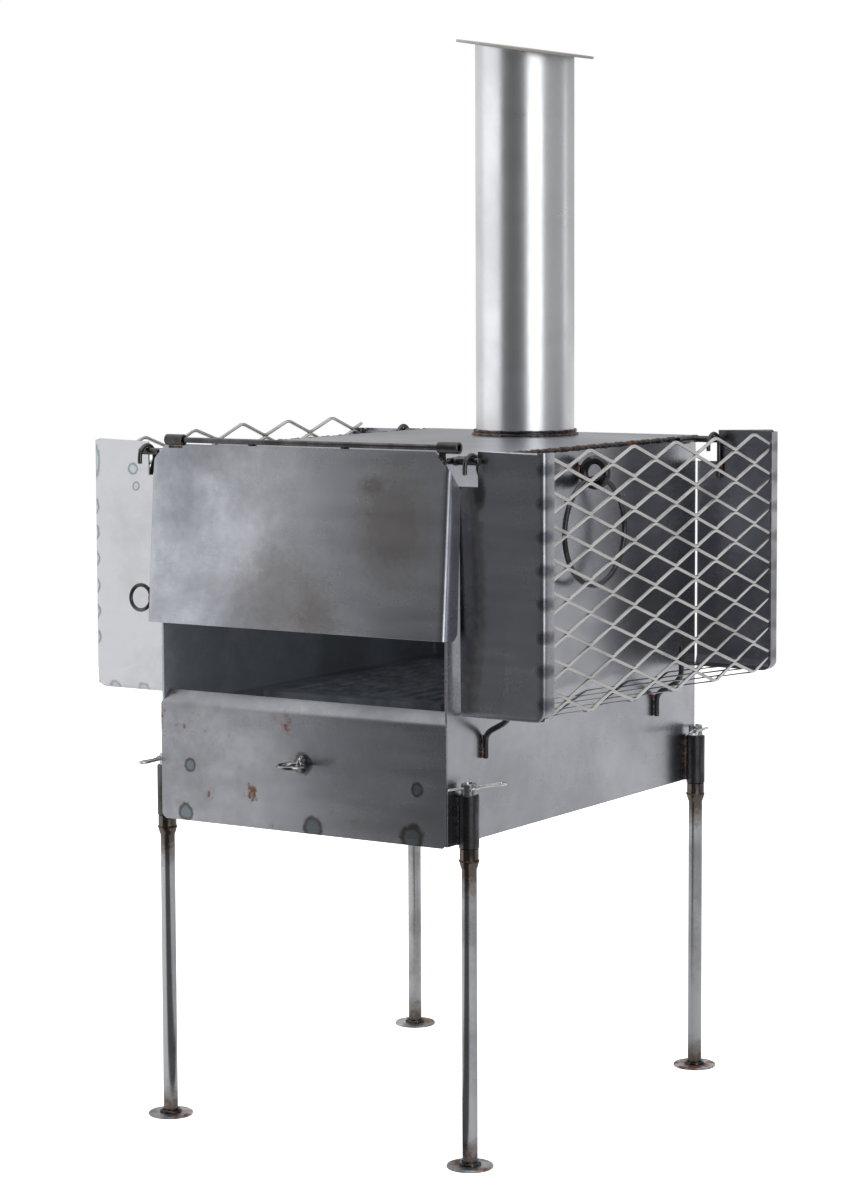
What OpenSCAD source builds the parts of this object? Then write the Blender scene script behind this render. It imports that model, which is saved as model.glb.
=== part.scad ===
// Wood-fired stove for a tent sauna. It stands on four socketed legs, has a
// leaning top-hung door, an ash drawer, an expanded-metal stone basket on each
// side and a flue. Sizes are in millimetres, Z points up, the front faces -Y.

/* [Firebox] */
// Outside width of the firebox
box_w = 365; // [345:1:395]
// Depth of the firebox
box_depth = 543; // [510:1:590]
// Height of the walls' lower edge above the ground
wall_base = 336.5; // [334:0.5:340]
// Height of the hotplate's upper face above the ground
plate_top = 734.5; // [732:0.5:738]
// Thickness of the firebox sheets
sheet_t = 3; // [2:0.5:3.5]
// Thickness of the bent sheets
thin_t = 2; // [1.5:0.5:2]
// Thickness of the tray's sheet
tray_t = 1.5; // [1:0.5:2]
// Running clearance between parts that move against each other
run_gap = 0.3; // [0.2:0.05:0.4]
// Height of the firebox floor's upper face above the ground
floor_height = 458; // [450:1:460]
// Distance of the firebox floor behind the front face
floor_inset = 17; // [16:0.5:25]

/* [Grate] */
// Width of the opening under the grate
grate_hole_w = 200; // [180:5:220]
// Length of the opening under the grate
grate_hole_len = 300; // [280:5:320]
// Distance from the front face to the opening under the grate
grate_setback = 110; // [100:5:125]
// Width by which the grate rests on the floor all round
grate_rim = 15; // [10:1:20]
// Thickness of the grate
grate_t = 10; // [8:1:12]
// Number of slots in the grate
grate_slots = 9; // [7:1:9]
// Width of one slot of the grate
grate_slot_w = 11; // [9:0.5:12]

/* [Ash drawer] */
// Height of the drawer panel's lower edge above the ground
panel_base = 335; // [334:0.5:336]
// Height of the drawer panel below its lip
panel_h = 127; // [124:1:129]
// Height of the slanted lip
lip_rise = 13; // [10:0.5:14]
// Depth of the slanted lip
lip_depth = 12; // [9:0.5:13]
// Gap between the lip and each wall
lip_side_gap = 1; // [0.5:0.25:3]
// Gap between the ash tray and each wall
tray_side_gap = 9.5; // [8:0.5:20]
// Gap between the ash tray and the rear panel
tray_rear_gap = 43; // [35:1:80]
// Height of the ash tray
tray_h = 68; // [55:1:75]
// Sideways place of the drawer's pull
pull_x = 4.7; // [-10:0.1:15]
// Height of the drawer's pull above the ground
pull_z = 409; // [400:1:420]
// Middle diameter of the pull's eye
eye_mid_d = 15; // [14:0.5:16]
// Thickness of the pull's wire
pull_wire_d = 4; // [3.5:0.25:4.5]
// Middle diameter of the pull's ring
pull_mid_d = 29; // [28:0.5:31]
// Distance of the pull ring's middle in front of the panel
pull_reach = 21; // [20.5:0.5:22]
// Diameter of the weld that holds the ring in the eye
pull_weld_d = 9; // [8.5:0.25:10]

/* [Door] */
// Height of the hinge line above the hotplate
hinge_up = 10.5; // [10:0.25:12]
// Diameter of the hinge rod
rod_d = 6; // [5.5:0.25:6.5]
// Distance of the hinge rod's left end inside the firebox
rod_left_in = 14.5; // [14:0.5:16]
// Distance of the hinge rod's right end outside the firebox
rod_right_out = 13.5; // [8:0.5:15]
// Outside diameter of the hinge tubes
knuckle_d = 12; // [11.5:0.25:13]
// Distance of the left hinge tube's outer end inside the firebox
left_knuckle_in = 12.5; // [12:0.5:14]
// Length of the left hinge tube
left_knuckle_len = 23; // [22:1:25]
// Distance of the right hinge tube's inner end inside the firebox
right_knuckle_in = 7.5; // [5.5:0.5:10]
// Length of the right hinge tube
right_knuckle_len = 25; // [24:1:26]
// Sideways place of the left rod support
left_support_x = -60; // [-70:1:-50]
// Sideways place of the right rod support
right_support_x = 58; // [50:1:70]
// Width of one rod support
support_w = 9; // [7:0.5:12]
// Depth to which the rod supports reach back over the hotplate
support_reach = 7; // [6.5:0.1:7.2]
// Width by which the door stands out over each side of the firebox
door_over = 7; // [6.5:0.25:7.5]
// Length of the door's face
door_len = 188; // [180:1:195]
// Distance of the door's upper edge below the hinge line
door_drop = 8; // [7.8:0.1:8.6]
// Set-back of the door's outer face from the hinge line
door_offset = 0.2; // [0.1:0.05:0.3]
// Lean of the hanging door in degrees
door_lean = 4.3; // [4:0.1:4.6]
// Depth of the door's side flanges at the top
flange_top = 22.3; // [20:0.1:22.6]
// Depth of the door's side flanges at the bottom
flange_low = 25.5; // [24:0.1:26]
// Size of the door's cut corners
corner_cut = 15; // [14:0.5:16]
// Slope of the flanges' upper ends
flange_slope = 19; // [17:0.5:21]
// Cut at the flanges' lower ends
flange_nip = 7; // [5:0.5:9]
// Width of the tab that joins the right hinge tube to the door
right_tab_w = 8; // [7:0.5:9]
// Middle diameter of the door's ring
door_ring_mid_d = 27; // [26:0.5:28]
// Thickness of the door ring's rod
door_ring_rod = 4; // [3.5:0.25:4.5]
// Distance of the door ring below the hinge line
door_ring_down = 171; // [160:1:172]
// Distance of the door ring behind the door's face
door_ring_in = 8; // [7:0.5:10]
// Depth by which the door ring is let into its weld
ring_flat = 0.6; // [0.4:0.1:0.8]

/* [Flue] */
// Outside diameter of the flue pipe
flue_d = 114.3; // [112:0.1:116]
// Wall thickness of the flue pipe
flue_wall = 2; // [1.5:0.25:2.5]
// Distance of the flue's axis in front of the back
flue_in = 84; // [80:1:88]
// Diameter of the smoke hole in the hotplate
smoke_hole_d = 104; // [100:1:106]
// Height of the collar around the flue's foot
collar_h = 7; // [5:0.5:9]
// Wall thickness of that collar
collar_wall = 2.2; // [2:0.1:3]
// Height of the flue's end above the ground on its axis
flue_top = 1176.4; // [1160:0.2:1190]
// Slant of the flue's upper end in degrees
flue_slant = 8.8; // [8:0.1:9.5]
// Diameter of the cover plate
cover_d = 159.5; // [150:0.5:165]
// Thickness of the cover plate
cover_t = 3; // [2.5:0.5:4]

/* [Legs] */
// Distance of the legs' axes outside the firebox
leg_out = 12; // [11.5:0.1:12.5]
// Distance of the front legs behind the front face
front_leg_y = 24.5; // [24:0.5:26]
// Distance of the rear legs in front of the back
rear_leg_in = 26; // [25:0.5:28]
// Diameter of the leg tubes
leg_d = 16; // [15.5:0.1:16.4]
// Wall thickness of the leg tubes
leg_wall = 2; // [1.5:0.25:2.5]
// Outside diameter of the sockets
socket_d = 21.3; // [21:0.1:21.9]
// Height of the sockets' lower end above the ground
socket_base = 334; // [333:0.5:335]
// Length of the sockets
socket_len = 55; // [52:0.5:56]
// Width of the weld between a socket and the wall
socket_weld_w = 9; // [7:0.5:11]
// Height of a leg's end above its socket
spigot_up = 12; // [11.5:0.5:14]
// Diameter of the stop ring under the socket
stop_d = 20; // [19:0.25:21]
// Height of the stop ring
stop_h = 12.5; // [10:0.5:14]
// Height of the weld cone under the stop ring
cone_h = 9; // [7:0.5:11]
// Diameter of the foot discs
foot_d = 49; // [45:0.5:52]
// Thickness of the foot discs
foot_t = 3; // [2.5:0.5:4]
// Height of the weld above a foot disc
foot_weld_h = 4; // [3:0.5:5]
// Width of the weld above a foot disc
foot_weld_w = 3; // [2:0.5:4]

/* [Clips] */
// Wire diameter of the retaining clips
clip_wire_d = 3; // [2.5:0.1:3]
// Height of the clip above the socket
clip_up = 7.5; // [7:0.25:8]
// Length of the clip's straight leg before the tube's axis
clip_tip = 27; // [24:0.5:28]
// Distance of the clip's bend behind the tube's axis
clip_bend = 40.5; // [38:0.5:42]
// Spacing of the clip's two wires
clip_gap = 6.5; // [6:0.25:7.5]
// Distance behind the tube's axis at which the clip's arm leaves the straight leg's side
clip_knee = 9.6; // [9:0.1:11]
// Distance behind the tube's axis of the arm's second bend
clip_shoulder = 2.4; // [2:0.1:4]
// Gap between the clip's arm and the leg tube at that bend
clip_bow_gap = 1.8; // [1.6:0.1:2.4]
// Length of the clip's free end before the tube's axis
clip_end = 9; // [7:0.5:11]
// Spread of the clip's free end
clip_spread = 1.2; // [1:0.1:2]
// Direction of the front right clip in degrees
front_clip_right = 72; // [68:1:76]
// Direction of the front left clip in degrees
front_clip_left = -85; // [-88:1:-82]
// Direction of the rear right clip in degrees
rear_clip_right = -72; // [-76:1:-68]
// Direction of the rear left clip in degrees
rear_clip_left = -108; // [-112:1:-104]

/* [Stone baskets] */
// Distance of the baskets' inner edge outside the firebox
basket_gap = 4.9; // [4.5:0.1:5.5]
// Width of the basket plates
basket_w = 100; // [98:0.5:102]
// Height of the basket plates' lower edge above the ground
basket_base = 469; // [467:0.5:470]
// Height of the baskets' upper edge above the ground
basket_top = 741; // [739:0.5:743]
// Distance of the front plate behind the front face
basket_front = 20.5; // [20.3:0.1:21]
// Distance of the rear plate in front of the back
basket_rear_in = 1.5; // [1:0.1:3]
// Depth of the plates' flanges
basket_flange = 18.5; // [16:0.5:20]
// Rounding of the plates' lower outer corner
basket_corner = 11; // [8:0.5:14]
// Width of the notch at the plates' inner upper corner
notch_w = 22.6; // [22.2:0.1:24]
// Height of that notch
notch_h = 36; // [34:0.5:38]

/* [Expanded metal] */
// Long pitch of the mesh
mesh_pitch = 92; // [90:0.5:94]
// Number of mesh rows over the height
mesh_rows = 8; // [7:1:8]
// Thickness of the mesh sheet
mesh_t = 2; // [1.5:0.25:2]
// Width of the mesh strands
strand_w = 4.5; // [3.5:0.25:5]
// Place of the first top peak of the right mesh behind the front face
right_phase = 24.5; // [20:0.5:30]
// Place of the first top peak of the left mesh behind the front face
left_phase = 14.7; // [12:0.1:20]

/* [Basket hangers] */
// Diameter of the wall pegs
peg_d = 7.5; // [7:0.25:8]
// Length by which the pegs stand out from the wall
peg_out = 34; // [32:0.5:36]
// Length of the pegs' welded legs along the wall
peg_leg = 36; // [30:1:40]
// Distance of the pegs' axis below the hotplate's upper face
peg_down = 3.5; // [3:0.25:4]
// Diameter of the hook rods
hook_d = 4.8; // [4.5:0.1:5]
// Middle radius of the hooks' bows
hook_r = 12.9; // [12.6:0.1:13.2]
// Distance of the hooks' stems outside the baskets' inner edge
stem_out = 25.1; // [25.1:0.1:27]
// Distance of the front hook's bow outside the baskets' inner edge
bow_out = 19.1; // [18.5:0.1:19.5]
// Length of the hooks' straight front ends
hook_end = 6.5; // [5:0.5:8]
// Length of the hooks' welded stems
stem_len = 18; // [15:0.5:22]
// Distance of the stems' upper ends below the baskets' upper edge
stem_down = 36; // [35:0.5:40]
// Height over which the front hook is set inwards
hook_jog = 17; // [15:0.5:18]
// Width of the welds between stems and plates
hook_weld_w = 6; // [5:0.5:7]

/* [Floor hooks] */
// Diameter of the floor hooks' rods
floor_hook_d = 6; // [5.5:0.25:6.25]
// Gap between the floor hooks' rods and the wall, filled by the weld
floor_hook_off = 0.5; // [0.3:0.1:1]
// Distance of the front floor hooks behind the front face
floor_hook_y = 70.5; // [69:0.5:72]
// Number of mesh pitches between the front and rear floor hooks
floor_hook_pitches = 4; // [4:1:4]
// Height of the floor hooks' lower ends above the ground
floor_hook_base = 420; // [412:1:422]
// Length of the floor hooks along the wall
floor_hook_len = 26; // [24:0.5:27]
// Distance of the floor hooks' knees outside the wall
knee_out = 27.5; // [26:0.5:29]
// Height of the floor hooks' knees above their straight length
knee_up = 13; // [12:0.5:14]
// Distance of the floor hooks' tips outside the wall
tip_out = 35; // [34:0.5:36]
// Height of the tips' bend above the knees
tip_bend_up = 9; // [8:0.5:10]
// Height of the floor hooks' tips above their bend
tip_len = 34; // [32:0.5:34.5]
// Height of the weld on the floor hooks
floor_weld_h = 20; // [16:0.5:22]
// Width of the weld on the floor hooks
floor_weld_w = 8; // [7:0.5:10]
// Depth of the weld on the floor hooks
floor_weld_t = 2.2; // [1.5:0.1:2.5]
// Distance of the weld above the floor hooks' lower ends
floor_weld_up = 3; // [2:0.5:4]

/* [Carrying rings] */
// Middle diameter of the carrying eyes
eye_d = 27.5; // [27:0.25:28.5]
// Rod diameter of the carrying eyes
eye_rod_d = 9.5; // [9:0.25:10]
// Height of the carrying eyes above the ground
eye_z = 706; // [700:1:708]
// Diameter of the weld between an eye and the wall
eye_weld_d = 12; // [10:0.5:14]
// Thickness of that weld
eye_weld_t = 2.5; // [2:0.25:3]
// Middle diameter of the drop rings
drop_mid_d = 116; // [112:0.5:119]
// Rod diameter of the drop rings
drop_rod_d = 5.8; // [5.5:0.1:6.2]
// Turn of the hanging rings out of the wall's direction in degrees
drop_turn = 4; // [2:0.5:4]

/* [Hidden] */
$fn = 64;
rod_facets = 20;
ring_facets = 48;
cut_over = 1;
// a bend's ball is a little thicker than its rod
joint_share = 1.03;
// every second length of a bent rod is this much of the full thickness
slim_share = 0.985;
// share of the openings under the grate's slots
slot_share = 0.94;
hinge_z = plate_top + hinge_up;
wall_top = plate_top - sheet_t;
front_gap = thin_t + run_gap;
inner_w = box_w - 2 * sheet_t;
bottom_t = thin_t;
tray_w = inner_w - 2 * tray_side_gap;
tray_z = wall_base + bottom_t;
rear_y = box_depth - sheet_t;
tray_len = rear_y - thin_t - tray_rear_gap;
rod_left = box_w / 2 - rod_left_in;
rod_right = box_w / 2 + rod_right_out;
left_knuckle_end = box_w / 2 - left_knuckle_in;
right_knuckle_x = box_w / 2 - right_knuckle_in;
door_w = box_w + 2 * door_over;
flue_y = box_depth - flue_in;
eye_y = box_depth / 2;
leg_x = box_w / 2 + leg_out;
rear_leg_y = box_depth - rear_leg_in;
pull_front = pull_reach + (pull_mid_d + pull_wire_d) / 2;
mid_y = (box_depth - pull_front) / 2;
basket_in = box_w / 2 + basket_gap;
basket_out = basket_in + basket_w;
basket_rear = box_depth - basket_rear_in;
basket_h = basket_top - basket_base;
mesh_base = basket_base + thin_t;
mesh_h = basket_top - mesh_base;
row_h = mesh_h / mesh_rows;
mesh_front = basket_front + thin_t;
mesh_back = basket_rear - thin_t;
mesh_len = mesh_back - mesh_front;
strand_run = norm([mesh_pitch, row_h]);
gap_in_r = mesh_pitch * row_h / strand_run / 2;
gap_share = (gap_in_r - strand_w / 2) / gap_in_r;
peg_z = plate_top - peg_down;
bow_z = peg_z + peg_d / 2 + run_gap + hook_d / 2 - hook_r;
front_stem_y = mesh_front + hook_d / 2;
rear_stem_y = mesh_back - hook_d / 2;
front_peg_y = front_stem_y - hook_r;
rear_peg_y = rear_stem_y - hook_r;
rear_floor_hook_y = floor_hook_y + floor_hook_pitches * mesh_pitch;
stem_top = basket_top - stem_down;
eye_x = box_w / 2 + (eye_d + eye_rod_d) / 2;
drop_z = eye_z - (eye_d - eye_rod_d) / 2 + drop_rod_d / 2 + run_gap;
bow_r = leg_d / 2 + clip_wire_d / 2 + clip_bow_gap;
half_turn = 180;
spigot_top = socket_base + socket_len + spigot_up;
clip_z = socket_base + socket_len + clip_up;
rod_hot = [0.33, 0.33, 0.35];
steel_mid = [0.55, 0.57, 0.60];
steel_light = [0.72, 0.73, 0.74];

// Helpers: everything is drawn from the front face and moved once to the middle

module place() {
  translate([0, -mid_y, 0]) children();
}

module on_left() {
  mirror([1, 0, 0]) children();
}

module upright(depth) {
  translate([0, depth, 0])
    rotate([90, 0, 0])
      linear_extrude(height = depth) children();
}

module sideways(depth) {
  rotate([90, 0, 90])
    linear_extrude(height = depth) children();
}

module straight(start, end, d) {
  run = end - start;
  len = norm(run);
  translate(start)
    rotate([0, acos(run[2] / len), atan2(run[1], run[0])])
      cylinder(h = len, d = d, $fn = rod_facets);
}

module wire(points, d) {
  for (i = [0 : len(points) - 2])
    straight(points[i], points[i + 1], i % 2 == 0 ? d : d * slim_share);
  for (i = [1 : len(points) - 2])
    translate(points[i]) sphere(d = d * joint_share, $fn = rod_facets);
}

module ring(mid_d, rod) {
  rotate_extrude($fn = ring_facets)
    translate([mid_d / 2, 0]) circle(d = rod, $fn = rod_facets);
}

// Firebox

module bottom_plate() {
  color(steel_mid)
    place()
      translate([-inner_w / 2, front_gap, wall_base])
        cube([inner_w, rear_y - front_gap, bottom_t]);
}

module wall() {
  translate([inner_w / 2, front_gap, wall_base])
    cube([sheet_t, rear_y - front_gap, wall_top - wall_base]);
}

module left_wall() {
  color(steel_mid) place() on_left() wall();
}

module right_wall() {
  color(steel_mid) place() wall();
}

module rear_panel() {
  color(steel_mid)
    place()
      translate([-box_w / 2, rear_y, wall_base])
        cube([box_w, sheet_t, wall_top - wall_base]);
}

module top_plate() {
  color(steel_mid)
    place()
      difference() {
        translate([-box_w / 2, front_gap, wall_top])
          cube([box_w, box_depth - front_gap, sheet_t]);
        translate([0, flue_y, wall_top - cut_over])
          cylinder(h = sheet_t + 2 * cut_over, d = smoke_hole_d);
      }
}

module floor_plate() {
  color(steel_mid)
    place()
      difference() {
        translate([-inner_w / 2, floor_inset, floor_height - thin_t])
          cube([inner_w, rear_y - floor_inset, thin_t]);
        translate([-grate_hole_w / 2, grate_setback, floor_height - thin_t - cut_over])
          cube([grate_hole_w, grate_hole_len, thin_t + 2 * cut_over]);
      }
}

module fire_grate() {
  slot_step = grate_hole_w / grate_slots;
  color(rod_hot)
    place()
      difference() {
        translate([-grate_hole_w / 2 - grate_rim, grate_setback - grate_rim, floor_height])
          cube([grate_hole_w + 2 * grate_rim, grate_hole_len + 2 * grate_rim, grate_t]);
        for (i = [0 : grate_slots - 1])
          translate([(i - (grate_slots - 1) / 2) * slot_step - grate_slot_w / 2,
              grate_setback + grate_hole_len * (1 - slot_share) / 2, floor_height - cut_over])
            cube([grate_slot_w, grate_hole_len * slot_share, grate_t + 2 * cut_over]);
      }
}

module flue_collar() {
  color(rod_hot)
    place()
      translate([0, flue_y, plate_top])
        difference() {
          cylinder(h = collar_h, d = flue_d + 2 * run_gap + 2 * collar_wall);
          translate([0, 0, -cut_over])
            cylinder(h = collar_h + 2 * cut_over, d = flue_d + 2 * run_gap);
        }
}

// Hinge rod on the hotplate's front edge

module rod_line(start, end, d) {
  translate([start, 0, hinge_z])
    rotate([0, 90, 0])
      cylinder(h = end - start, d = d, $fn = rod_facets * 2);
}

module hinge_rod() {
  color(rod_hot) place() rod_line(-rod_left, rod_right, rod_d);
}

module rod_supports() {
  color(rod_hot)
    place()
      for (x = [left_support_x, right_support_x])
        difference() {
          translate([x - support_w / 2, front_gap, plate_top])
            cube([support_w, support_reach - front_gap, hinge_up]);
          rod_line(x - support_w / 2 - cut_over, x + support_w / 2 + cut_over, rod_d);
        }
}

// Pegs that carry the baskets, and the hooks under the baskets' floors

module peg(y) {
  translate([box_w / 2, y, peg_z])
    rotate([0, 90, 0])
      cylinder(h = peg_out, d = peg_d, $fn = rod_facets);
}

module peg_foot(start) {
  foot_rod_d = peg_d * slim_share;
  translate([box_w / 2 + foot_rod_d / 2, start, peg_z])
    rotate([-90, 0, 0])
      cylinder(h = peg_leg, d = foot_rod_d, $fn = rod_facets);
}

module peg_pair() {
  peg(front_peg_y);
  peg_foot(front_peg_y);
  peg(rear_peg_y);
  peg_foot(rear_peg_y - peg_leg);
}

module hanger_pegs() {
  color(rod_hot)
    place() {
      peg_pair();
      on_left() peg_pair();
    }
}

module floor_hook(y) {
  side = box_w / 2;
  near = side + floor_hook_off + floor_hook_d / 2;
  bend_z = floor_hook_base + floor_hook_len;
  knee_z = bend_z + knee_up;
  tip_z = knee_z + tip_bend_up;
  wire([[near, y, floor_hook_base], [near, y, bend_z], [side + knee_out, y, knee_z],
      [side + tip_out, y, tip_z], [side + tip_out, y, tip_z + tip_len]], floor_hook_d);
}

module floor_hooks() {
  color(rod_hot)
    place() {
      for (y = [floor_hook_y, rear_floor_hook_y]) {
        floor_hook(y);
        on_left() floor_hook(y);
      }
    }
}

module floor_hook_weld(y) {
  difference() {
    translate([box_w / 2, y - floor_weld_w / 2, floor_hook_base + floor_weld_up])
      cube([floor_weld_t, floor_weld_w, floor_weld_h]);
    translate([box_w / 2 + floor_hook_off + floor_hook_d / 2, y, floor_hook_base])
      cylinder(h = floor_hook_len, d = floor_hook_d, $fn = rod_facets);
  }
}

module floor_hook_welds() {
  color(rod_hot)
    place() {
      for (y = [floor_hook_y, rear_floor_hook_y]) {
        floor_hook_weld(y);
        on_left() floor_hook_weld(y);
      }
    }
}

// Carrying eyes and their drop rings

module eye() {
  translate([eye_x, eye_y, eye_z])
    rotate([90, 0, 0]) ring(eye_d, eye_rod_d);
  difference() {
    translate([box_w / 2, eye_y, eye_z])
      rotate([0, 90, 0])
        cylinder(h = eye_weld_t, d = eye_weld_d, $fn = rod_facets);
    translate([eye_x, eye_y + eye_weld_d, eye_z])
      rotate([90, 0, 0])
        cylinder(h = 2 * eye_weld_d, d = eye_d);
  }
}

module left_eye() {
  color(rod_hot) place() on_left() eye();
}

module right_eye() {
  color(rod_hot) place() eye();
}

module drop_ring() {
  translate([eye_x, eye_y, drop_z])
    rotate([0, 0, -drop_turn])
      translate([0, 0, -drop_mid_d / 2])
        rotate([0, 90, 0]) ring(drop_mid_d, drop_rod_d);
}

module left_drop_ring() {
  color(rod_hot) place() on_left() drop_ring();
}

module right_drop_ring() {
  color(rod_hot) place() drop_ring();
}

// Legs: socket on the wall, tube with a stop ring, foot disc and clip

module socket(y) {
  difference() {
    union() {
      translate([leg_x, y, socket_base]) cylinder(h = socket_len, d = socket_d);
      translate([box_w / 2, y - socket_weld_w / 2, socket_base + sheet_t])
        cube([leg_out, socket_weld_w, socket_len - 2 * sheet_t]);
    }
    translate([leg_x, y, socket_base - cut_over])
      cylinder(h = socket_len + 2 * cut_over, d = leg_d + 2 * run_gap);
  }
}

module front_left_socket() {
  color(rod_hot) place() on_left() socket(front_leg_y);
}

module front_right_socket() {
  color(rod_hot) place() socket(front_leg_y);
}

module rear_left_socket() {
  color(rod_hot) place() on_left() socket(rear_leg_y);
}

module rear_right_socket() {
  color(rod_hot) place() socket(rear_leg_y);
}

module leg(y, clip_angle) {
  translate([leg_x, y, 0])
    difference() {
      union() {
        translate([0, 0, foot_t]) cylinder(h = spigot_top - foot_t, d = leg_d);
        translate([0, 0, socket_base - stop_h]) cylinder(h = stop_h, d = stop_d);
        translate([0, 0, socket_base - stop_h - cone_h])
          cylinder(h = cone_h, d1 = leg_d, d2 = stop_d);
        translate([0, 0, foot_t])
          cylinder(h = foot_weld_h, d1 = leg_d + 2 * foot_weld_w, d2 = leg_d);
      }
      translate([0, 0, foot_t - cut_over])
        cylinder(h = spigot_top, d = leg_d - 2 * leg_wall);
      translate([0, 0, clip_z])
        rotate([0, 0, clip_angle])
          translate([-leg_d, 0, 0])
            rotate([0, 90, 0])
              cylinder(h = 2 * leg_d, d = clip_wire_d + 2 * run_gap, $fn = rod_facets);
    }
}

module front_left_leg() {
  color(steel_light) place() on_left() leg(front_leg_y, half_turn - front_clip_left);
}

module front_right_leg() {
  color(steel_light) place() leg(front_leg_y, front_clip_right);
}

module rear_left_leg() {
  color(steel_light) place() on_left() leg(rear_leg_y, half_turn - rear_clip_left);
}

module rear_right_leg() {
  color(steel_light) place() leg(rear_leg_y, rear_clip_right);
}

module foot(y) {
  translate([leg_x, y, 0]) cylinder(h = foot_t, d = foot_d);
}

module front_left_foot() {
  color(rod_hot) place() on_left() foot(front_leg_y);
}

module front_right_foot() {
  color(rod_hot) place() foot(front_leg_y);
}

module rear_left_foot() {
  color(rod_hot) place() on_left() foot(rear_leg_y);
}

module rear_right_foot() {
  color(rod_hot) place() foot(rear_leg_y);
}

// The clip lies along X here, its arm on the +Y side bows around the leg tube
module clip_shape() {
  straight([-clip_tip, 0, 0], [clip_bend, 0, 0], clip_wire_d);
  translate([clip_bend, clip_gap / 2, 0])
    rotate([0, 0, -90])
      rotate_extrude(angle = half_turn, $fn = ring_facets)
        translate([clip_gap / 2, 0]) circle(d = clip_wire_d, $fn = rod_facets);
  wire([[clip_bend, clip_gap, 0], [clip_knee, clip_gap, 0], [clip_shoulder, bow_r, 0],
      [-clip_end, bow_r + clip_spread, 0]], clip_wire_d);
}

module clip_at(x, y, angle, over) {
  translate([x, y, clip_z])
    rotate([over, 0, angle])
      mirror([0, 1, 0]) clip_shape();
}

module front_left_clip() {
  color(steel_light) place() clip_at(-leg_x, front_leg_y, front_clip_left, 0);
}

module front_right_clip() {
  color(steel_light) place() clip_at(leg_x, front_leg_y, front_clip_right, 0);
}

module rear_left_clip() {
  color(steel_light) place() clip_at(-leg_x, rear_leg_y, rear_clip_left, 0);
}

module rear_right_clip() {
  color(steel_light) place() clip_at(leg_x, rear_leg_y, rear_clip_right, half_turn);
}

// Door, drawn from the hinge line downwards and then leaned outwards

module leaned() {
  translate([0, 0, hinge_z]) rotate([-door_lean, 0, 0]) children();
}

module door_sheet() {
  half = door_w / 2;
  low = -door_drop - door_len;
  high = -door_drop;
  color(steel_mid)
    place()
      leaned() {
        translate([0, door_offset, 0])
          upright(thin_t)
            polygon([[corner_cut - half, high], [half - corner_cut, high],
                [half, high - corner_cut], [half, low], [-half, low],
                [-half, high - corner_cut]]);
        for (x = [-half, half - thin_t])
          translate([x, 0, 0])
            sideways(thin_t)
              polygon([[door_offset, high - corner_cut],
                  [flange_top, high - corner_cut - flange_slope],
                  [flange_low, low + flange_nip], [flange_low - flange_nip, low],
                  [door_offset, low]]);
      }
}

module knuckle(start, length) {
  difference() {
    rod_line(start, start + length, knuckle_d);
    rod_line(start - cut_over, start + length + cut_over, rod_d + 2 * run_gap);
  }
}

module left_knuckle() {
  color(rod_hot) place() knuckle(-left_knuckle_end, left_knuckle_len);
}

module right_knuckle() {
  color(rod_hot) place() knuckle(right_knuckle_x, right_knuckle_len);
}

module hinge_tabs() {
  diagonal = door_w / 2 - corner_cut;
  tab_end = right_knuckle_x + right_tab_w;
  color(rod_hot)
    place()
      difference() {
        leaned()
          translate([0, door_offset, 0])
            upright(thin_t) {
              translate([-left_knuckle_end, -door_drop])
                square([left_knuckle_len, door_drop]);
              polygon([[right_knuckle_x, 0], [tab_end, 0],
                  [tab_end, diagonal - tab_end - door_drop],
                  [right_knuckle_x, diagonal - right_knuckle_x - door_drop]]);
            }
        rod_line(-box_w, box_w, knuckle_d);
      }
}

module door_ring() {
  color(rod_hot)
    place()
      leaned()
        difference() {
          translate([ring_flat - (door_w + door_ring_mid_d + door_ring_rod) / 2, door_ring_in,
              -door_ring_down])
            rotate([90, 0, 0]) ring(door_ring_mid_d, door_ring_rod);
          translate([-door_w / 2, -door_ring_rod, -door_ring_down - door_ring_mid_d])
            cube([door_ring_mid_d, door_ring_in + 2 * door_ring_rod, 2 * door_ring_mid_d]);
        }
}

// Ash drawer

module drawer_front() {
  lip_w = inner_w - 2 * lip_side_gap;
  lip_z = panel_base + panel_h;
  color(steel_mid)
    place() {
      translate([-box_w / 2, 0, panel_base]) cube([box_w, thin_t, panel_h]);
      translate([-lip_w / 2, 0, 0])
        sideways(lip_w)
          polygon([[0, lip_z], [thin_t, lip_z], [lip_depth + thin_t, lip_z + lip_rise],
              [lip_depth, lip_z + lip_rise]]);
    }
}

// The tray's bottom folded up at both sides
module ash_tray() {
  color(steel_mid)
    place()
      translate([0, thin_t, tray_z]) {
        translate([-tray_w / 2, 0, 0]) cube([tray_w, tray_len, tray_t]);
        translate([-tray_w / 2, 0, 0]) cube([tray_t, tray_len, tray_h]);
        translate([tray_w / 2 - tray_t, 0, 0]) cube([tray_t, tray_len, tray_h]);
      }
}

// The tray's front and rear end plates between its sides
module tray_ends() {
  color(steel_mid)
    place()
      for (depth = [thin_t, thin_t + tray_len - tray_t])
        translate([tray_t - tray_w / 2, depth, tray_z + tray_t])
          cube([tray_w - 2 * tray_t, tray_t, tray_h - tray_t]);
}

module drawer_pull() {
  color(rod_hot)
    place()
      translate([pull_x, 0, pull_z]) {
        difference() {
          translate([0, -eye_mid_d / 2, 0]) rotate([0, 90, 0]) ring(eye_mid_d, pull_wire_d);
          translate([-pull_wire_d, 0, -eye_mid_d])
            cube([2 * pull_wire_d, pull_wire_d, 2 * eye_mid_d]);
        }
        translate([0, -pull_reach, 0]) ring(pull_mid_d, pull_wire_d);
        translate([0, -pull_reach + pull_mid_d / 2, -pull_weld_d / 2])
          sphere(d = pull_weld_d, $fn = rod_facets);
      }
}

// Stone baskets, drawn on the right side with x measured from the middle

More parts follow.
